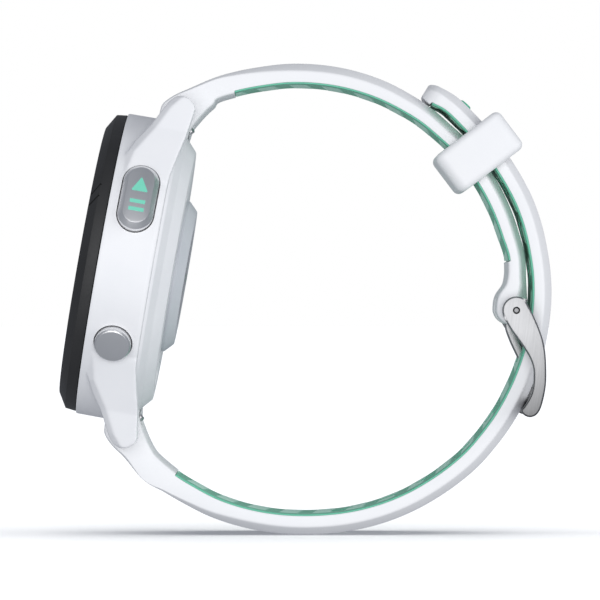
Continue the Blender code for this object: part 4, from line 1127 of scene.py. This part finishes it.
def cad_long_outer():
    """Outer points of the frame's own coarse band, from which the nub is placed."""
    su = -1
    mid, length = resample(smooth_path(LONG_MID, 6), COARSE)
    pts = [(o, i) for o, i in root_pairs(su)]
    pts += [pair for k, pair in enumerate(sides(mid, su)) if k < len(mid) - 1]
    tip, before = Vector(mid[-1][:2]), Vector(mid[-2][:2])
    al = (tip - before).normalized()
    ac = Vector((al.y, -al.x))
    for back, th in ((1.6, 2.75), (0.7, 2.5), (0.15, 2.0), (0.0, 1.7)):
        c = tip - al * back - ac * 0.1
        pts.append((tuple(c + ac * (th / 2)), tuple(c - ac * (th / 2))))
    return pts


outer_pts = cad_long_outer()
pk = min(range(len(outer_pts)), key=lambda k: math.hypot(outer_pts[k][0][0] - SEEN[0],
                                                        outer_pts[k][0][1] - SEEN[1]))
pair, after = outer_pts[pk], outer_pts[pk + 1]
slide = 1.5 / math.hypot(after[0][0] - pair[0][0], after[0][1] - pair[0][1])
pair = [tuple(a + (b - a) * slide for a, b in zip(p, q)) for p, q in zip(pair, after)]
o_pt, i_pt = Vector((pair[0][0], 0, pair[0][1])), Vector((pair[1][0], 0, pair[1][1]))
up_dir = (o_pt - i_pt).normalized()
side_dir = up_dir.cross(Vector((0, 1, 0)))
nub_at = place(o_pt, side_dir, Vector((0, 1, 0)), side_dir.cross(Vector((0, 1, 0))))
nflip = 1.0 if (nub_at.to_3x3() @ Vector((0, 0, 1))).dot(up_dir) > 0 else -1.0
nub_turn = nub_at @ Matrix.Rotation(math.pi / 2, 4, 'Z')
nub = stack("stop_nub", [(nflip * -1.2, 1.9, 0.8), (nflip * 0.1, 1.9, 0.8), (nflip * 0.1, 3.3, 1.7),
                         (nflip * 0.16, 3.4, 1.8), (nflip * 0.3, 3.32, 1.72),
                         (nflip * 0.41, 3.1, 1.5), (nflip * 0.45, 2.7, 1.1)], nub_turn, 48, 44.0)
dress(nub, LINER, "case", "liner_silicone", "keeper_stop_nub")
slots.append(stack("nub_hole", [(nflip * -1.4, 2.2, 1.1), (nflip * 1.5, 2.2, 1.1)], nub_turn, 32))

lin_slots = duplicates(slots)
carve(long_body, long_cutters + slots, sharp=40.0)
carve(long_lin, lin_slots, sharp=50.0)
dress(short_body, STRAP, "case", "strap_silicone", "strap_short")
dress(long_body, STRAP, "case", "strap_silicone", "strap_long")
dress(short_lin, LINER, "case", "liner_silicone", "liner_short")
dress(long_lin, LINER, "case", "liner_silicone", "liner_long")

# ================================================================== keeper
ka = math.radians(37.1)
radial = Vector((math.cos(ka), 0, math.sin(ka)))
keep_at = place((23.75, 0, 52.34), radial, Vector((0, 1, 0)), radial.cross(Vector((0, 1, 0))))


def rounded(hx, hy, r, n=8, dx=0.0):
    pts = []
    for cx, cy, a0 in ((hx - r, hy - r, 0), (r - hx, hy - r, 90), (r - hx, r - hy, 180),
                       (hx - r, r - hy, 270)):
        for k in range(n + 1):
            a = math.radians(a0 + 90 * k / n)
            pts.append((cx + dx + r * math.cos(a), cy + r * math.sin(a)))
    return pts


# A rounded band swept round the loop: out, over the rim and back along the inside.
def keeper_section():
    """(share of the wall from the outer face, height) round the band's section."""
    hz, cr, ci = 3.12, 0.95, 0.3
    pts = []
    for k in range(7):
        a = math.radians(90 * k / 6)
        pts.append((cr - cr * math.cos(a), hz - cr + cr * math.sin(a)))
    top = [(d_, z_) for d_, z_ in pts]
    inner = []
    for k in range(5):
        a = math.radians(90 - 90 * k / 4)
        inner.append(('in', ci * math.cos(a), hz - ci + ci * math.sin(a)))
    return top, inner


top, inner = keeper_section()
rings = []


def keeper_ring(depth, z, from_inside):
    if from_inside:
        return [(x, y, z) for x, y in rounded(4.05 + depth, 8.9 + depth, 0.8 + depth, dx=0.05)]
    return [(x, y, z) for x, y in rounded(5.5 - depth, 10.4 - depth, max(1.5 - depth, 0.4))]


loop = [(d_, z_, False) for d_, z_ in top]
loop += [(c_ * 1.0, z_, True) for _, c_, z_ in [(None, 0.3 - i_[1], i_[2]) for i_ in inner]]
loop += [(d_, -z_, f_) for d_, z_, f_ in reversed(loop)]
for d_, z_, f_ in loop:
    rings.append(keeper_ring(d_, z_, f_))
keeper = loft("keeper_loop", rings, keep_at, closed=True, sharp=50.0)
dress(keeper, STRAP, "keeper", "strap_silicone", "keeper")

# ================================================================== inner works
INNER = {"lens_gasket": RUBBER, "case_gasket": RUBBER, "sensor_board": BOARD, "main_board": BOARD,
         "chassis": DARK, "battery": FOIL, "antenna_ring": GOLD, "buzzer": GOLD,
         "motor_can": STEEL, "motor_weight": STEEL}
for name in BUTTONS:
    INNER[name + "_button_seal"] = RUBBER
    INNER[name + "_button_clip"] = STEEL
    INNER[name + "_switch"] = DARK
for name, material in INNER.items():
    ob = NODES[name]
    ob.data.materials.clear()
    ob.data.materials.append(material)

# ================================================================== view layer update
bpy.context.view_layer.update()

# ================================================================== floor, light, camera
floor_mesh = bpy.data.meshes.new("floor")
bm = bmesh.new()
bmesh.ops.create_grid(bm, x_segments=1, y_segments=1, size=6.0)
bm.to_mesh(floor_mesh)
bm.free()
floor = bpy.data.objects.new("floor", floor_mesh)
bpy.context.scene.collection.objects.link(floor)
m, nt, b = new_material("floor_white", rough=0.85)
tone = noise_of(nt, coords_mm(nt), 0.004, 2.0)
nt.links.new(ramp(nt, tone, [(0.3, (0.95, 0.95, 0.95)), (0.7, (0.96, 0.96, 0.96))]),
             b.inputs["Base Color"])
b.inputs["Specular IOR Level"].default_value = 0.1
floor.data.materials.append(m)
floor.visible_diffuse = False
floor.visible_glossy = False
floor.visible_shadow = False

world = bpy.data.worlds.new("studio")
bpy.context.scene.world = world
world.use_nodes = True
wt = world.node_tree
bg = wt.nodes["Background"]
bg.inputs["Color"].default_value = (1.0, 1.0, 1.0, 1.0)
bg.inputs["Strength"].default_value = 1.0
soft_bg = wt.nodes.new("ShaderNodeBackground")
soft_bg.inputs["Color"].default_value = (0.85, 0.90, 1.0, 1.0)
soft_bg.inputs["Strength"].default_value = 0.34
ray = wt.nodes.new("ShaderNodeLightPath")
pick = wt.nodes.new("ShaderNodeMixShader")
wt.links.new(ray.outputs["Is Camera Ray"], pick.inputs[0])
wt.links.new(soft_bg.outputs[0], pick.inputs[1])
wt.links.new(bg.outputs[0], pick.inputs[2])
wt.links.new(pick.outputs[0], wt.nodes["World Output"].inputs["Surface"])


def area(name, at, target, size, size_y, power, color=(1, 1, 1)):
    li = bpy.data.lights.new(name, 'AREA')
    li.shape = 'RECTANGLE'
    li.size, li.size_y, li.energy, li.color = size, size_y, power, color
    ob = bpy.data.objects.new(name, li)
    ob.location = at
    ob.rotation_euler = (Vector(target) - Vector(at)).to_track_quat('-Z', 'Y').to_euler()
    bpy.context.scene.collection.objects.link(ob)
    return ob


key = area("front_key", (-0.1, -1.3, 0.07), (0, 0, 0.03), 1.5, 1.2, 13.3)
beside = bpy.data.collections.new("all_but_floor")
beside.objects.link(floor)
key.light_linking.receiver_collection = beside
beside.collection_objects[0].light_linking.link_state = 'EXCLUDE'
for fill in (area("right_fill", (1.3, -0.5, 0.25), (0, 0, 0.03), 0.9, 1.2, 8.0),
             area("back_fill", (0.25, 1.3, 0.35), (0, 0, 0.03), 1.2, 1.0, 4.0)):
    fill.visible_glossy = False
    fill.light_linking.receiver_collection = beside
wash = bpy.data.lights.new("floor_wash", 'SUN')
wash.energy, wash.angle = 2.85, math.radians(97)
wash_at = bpy.data.objects.new("floor_wash", wash)
bpy.context.scene.collection.objects.link(wash_at)
washed = bpy.data.collections.new("washed")
washed.objects.link(floor)
wash_at.light_linking.receiver_collection = washed

cam_data = bpy.data.cameras.new("camera")
cam_data.sensor_width = 36.0
cam_data.lens = 347.8
cam_data.clip_start = 0.01
cam_data.clip_end = 30.0
cam = bpy.data.objects.new("camera", cam_data)
cam.location = (-0.00069, -0.8, 0.03214)
cam.rotation_euler = (math.pi / 2, 0.0, 0.0)
bpy.context.scene.collection.objects.link(cam)
bpy.context.scene.camera = cam
bpy.context.scene.view_settings.view_transform = 'Standard'
bpy.context.scene.view_settings.look = 'None'
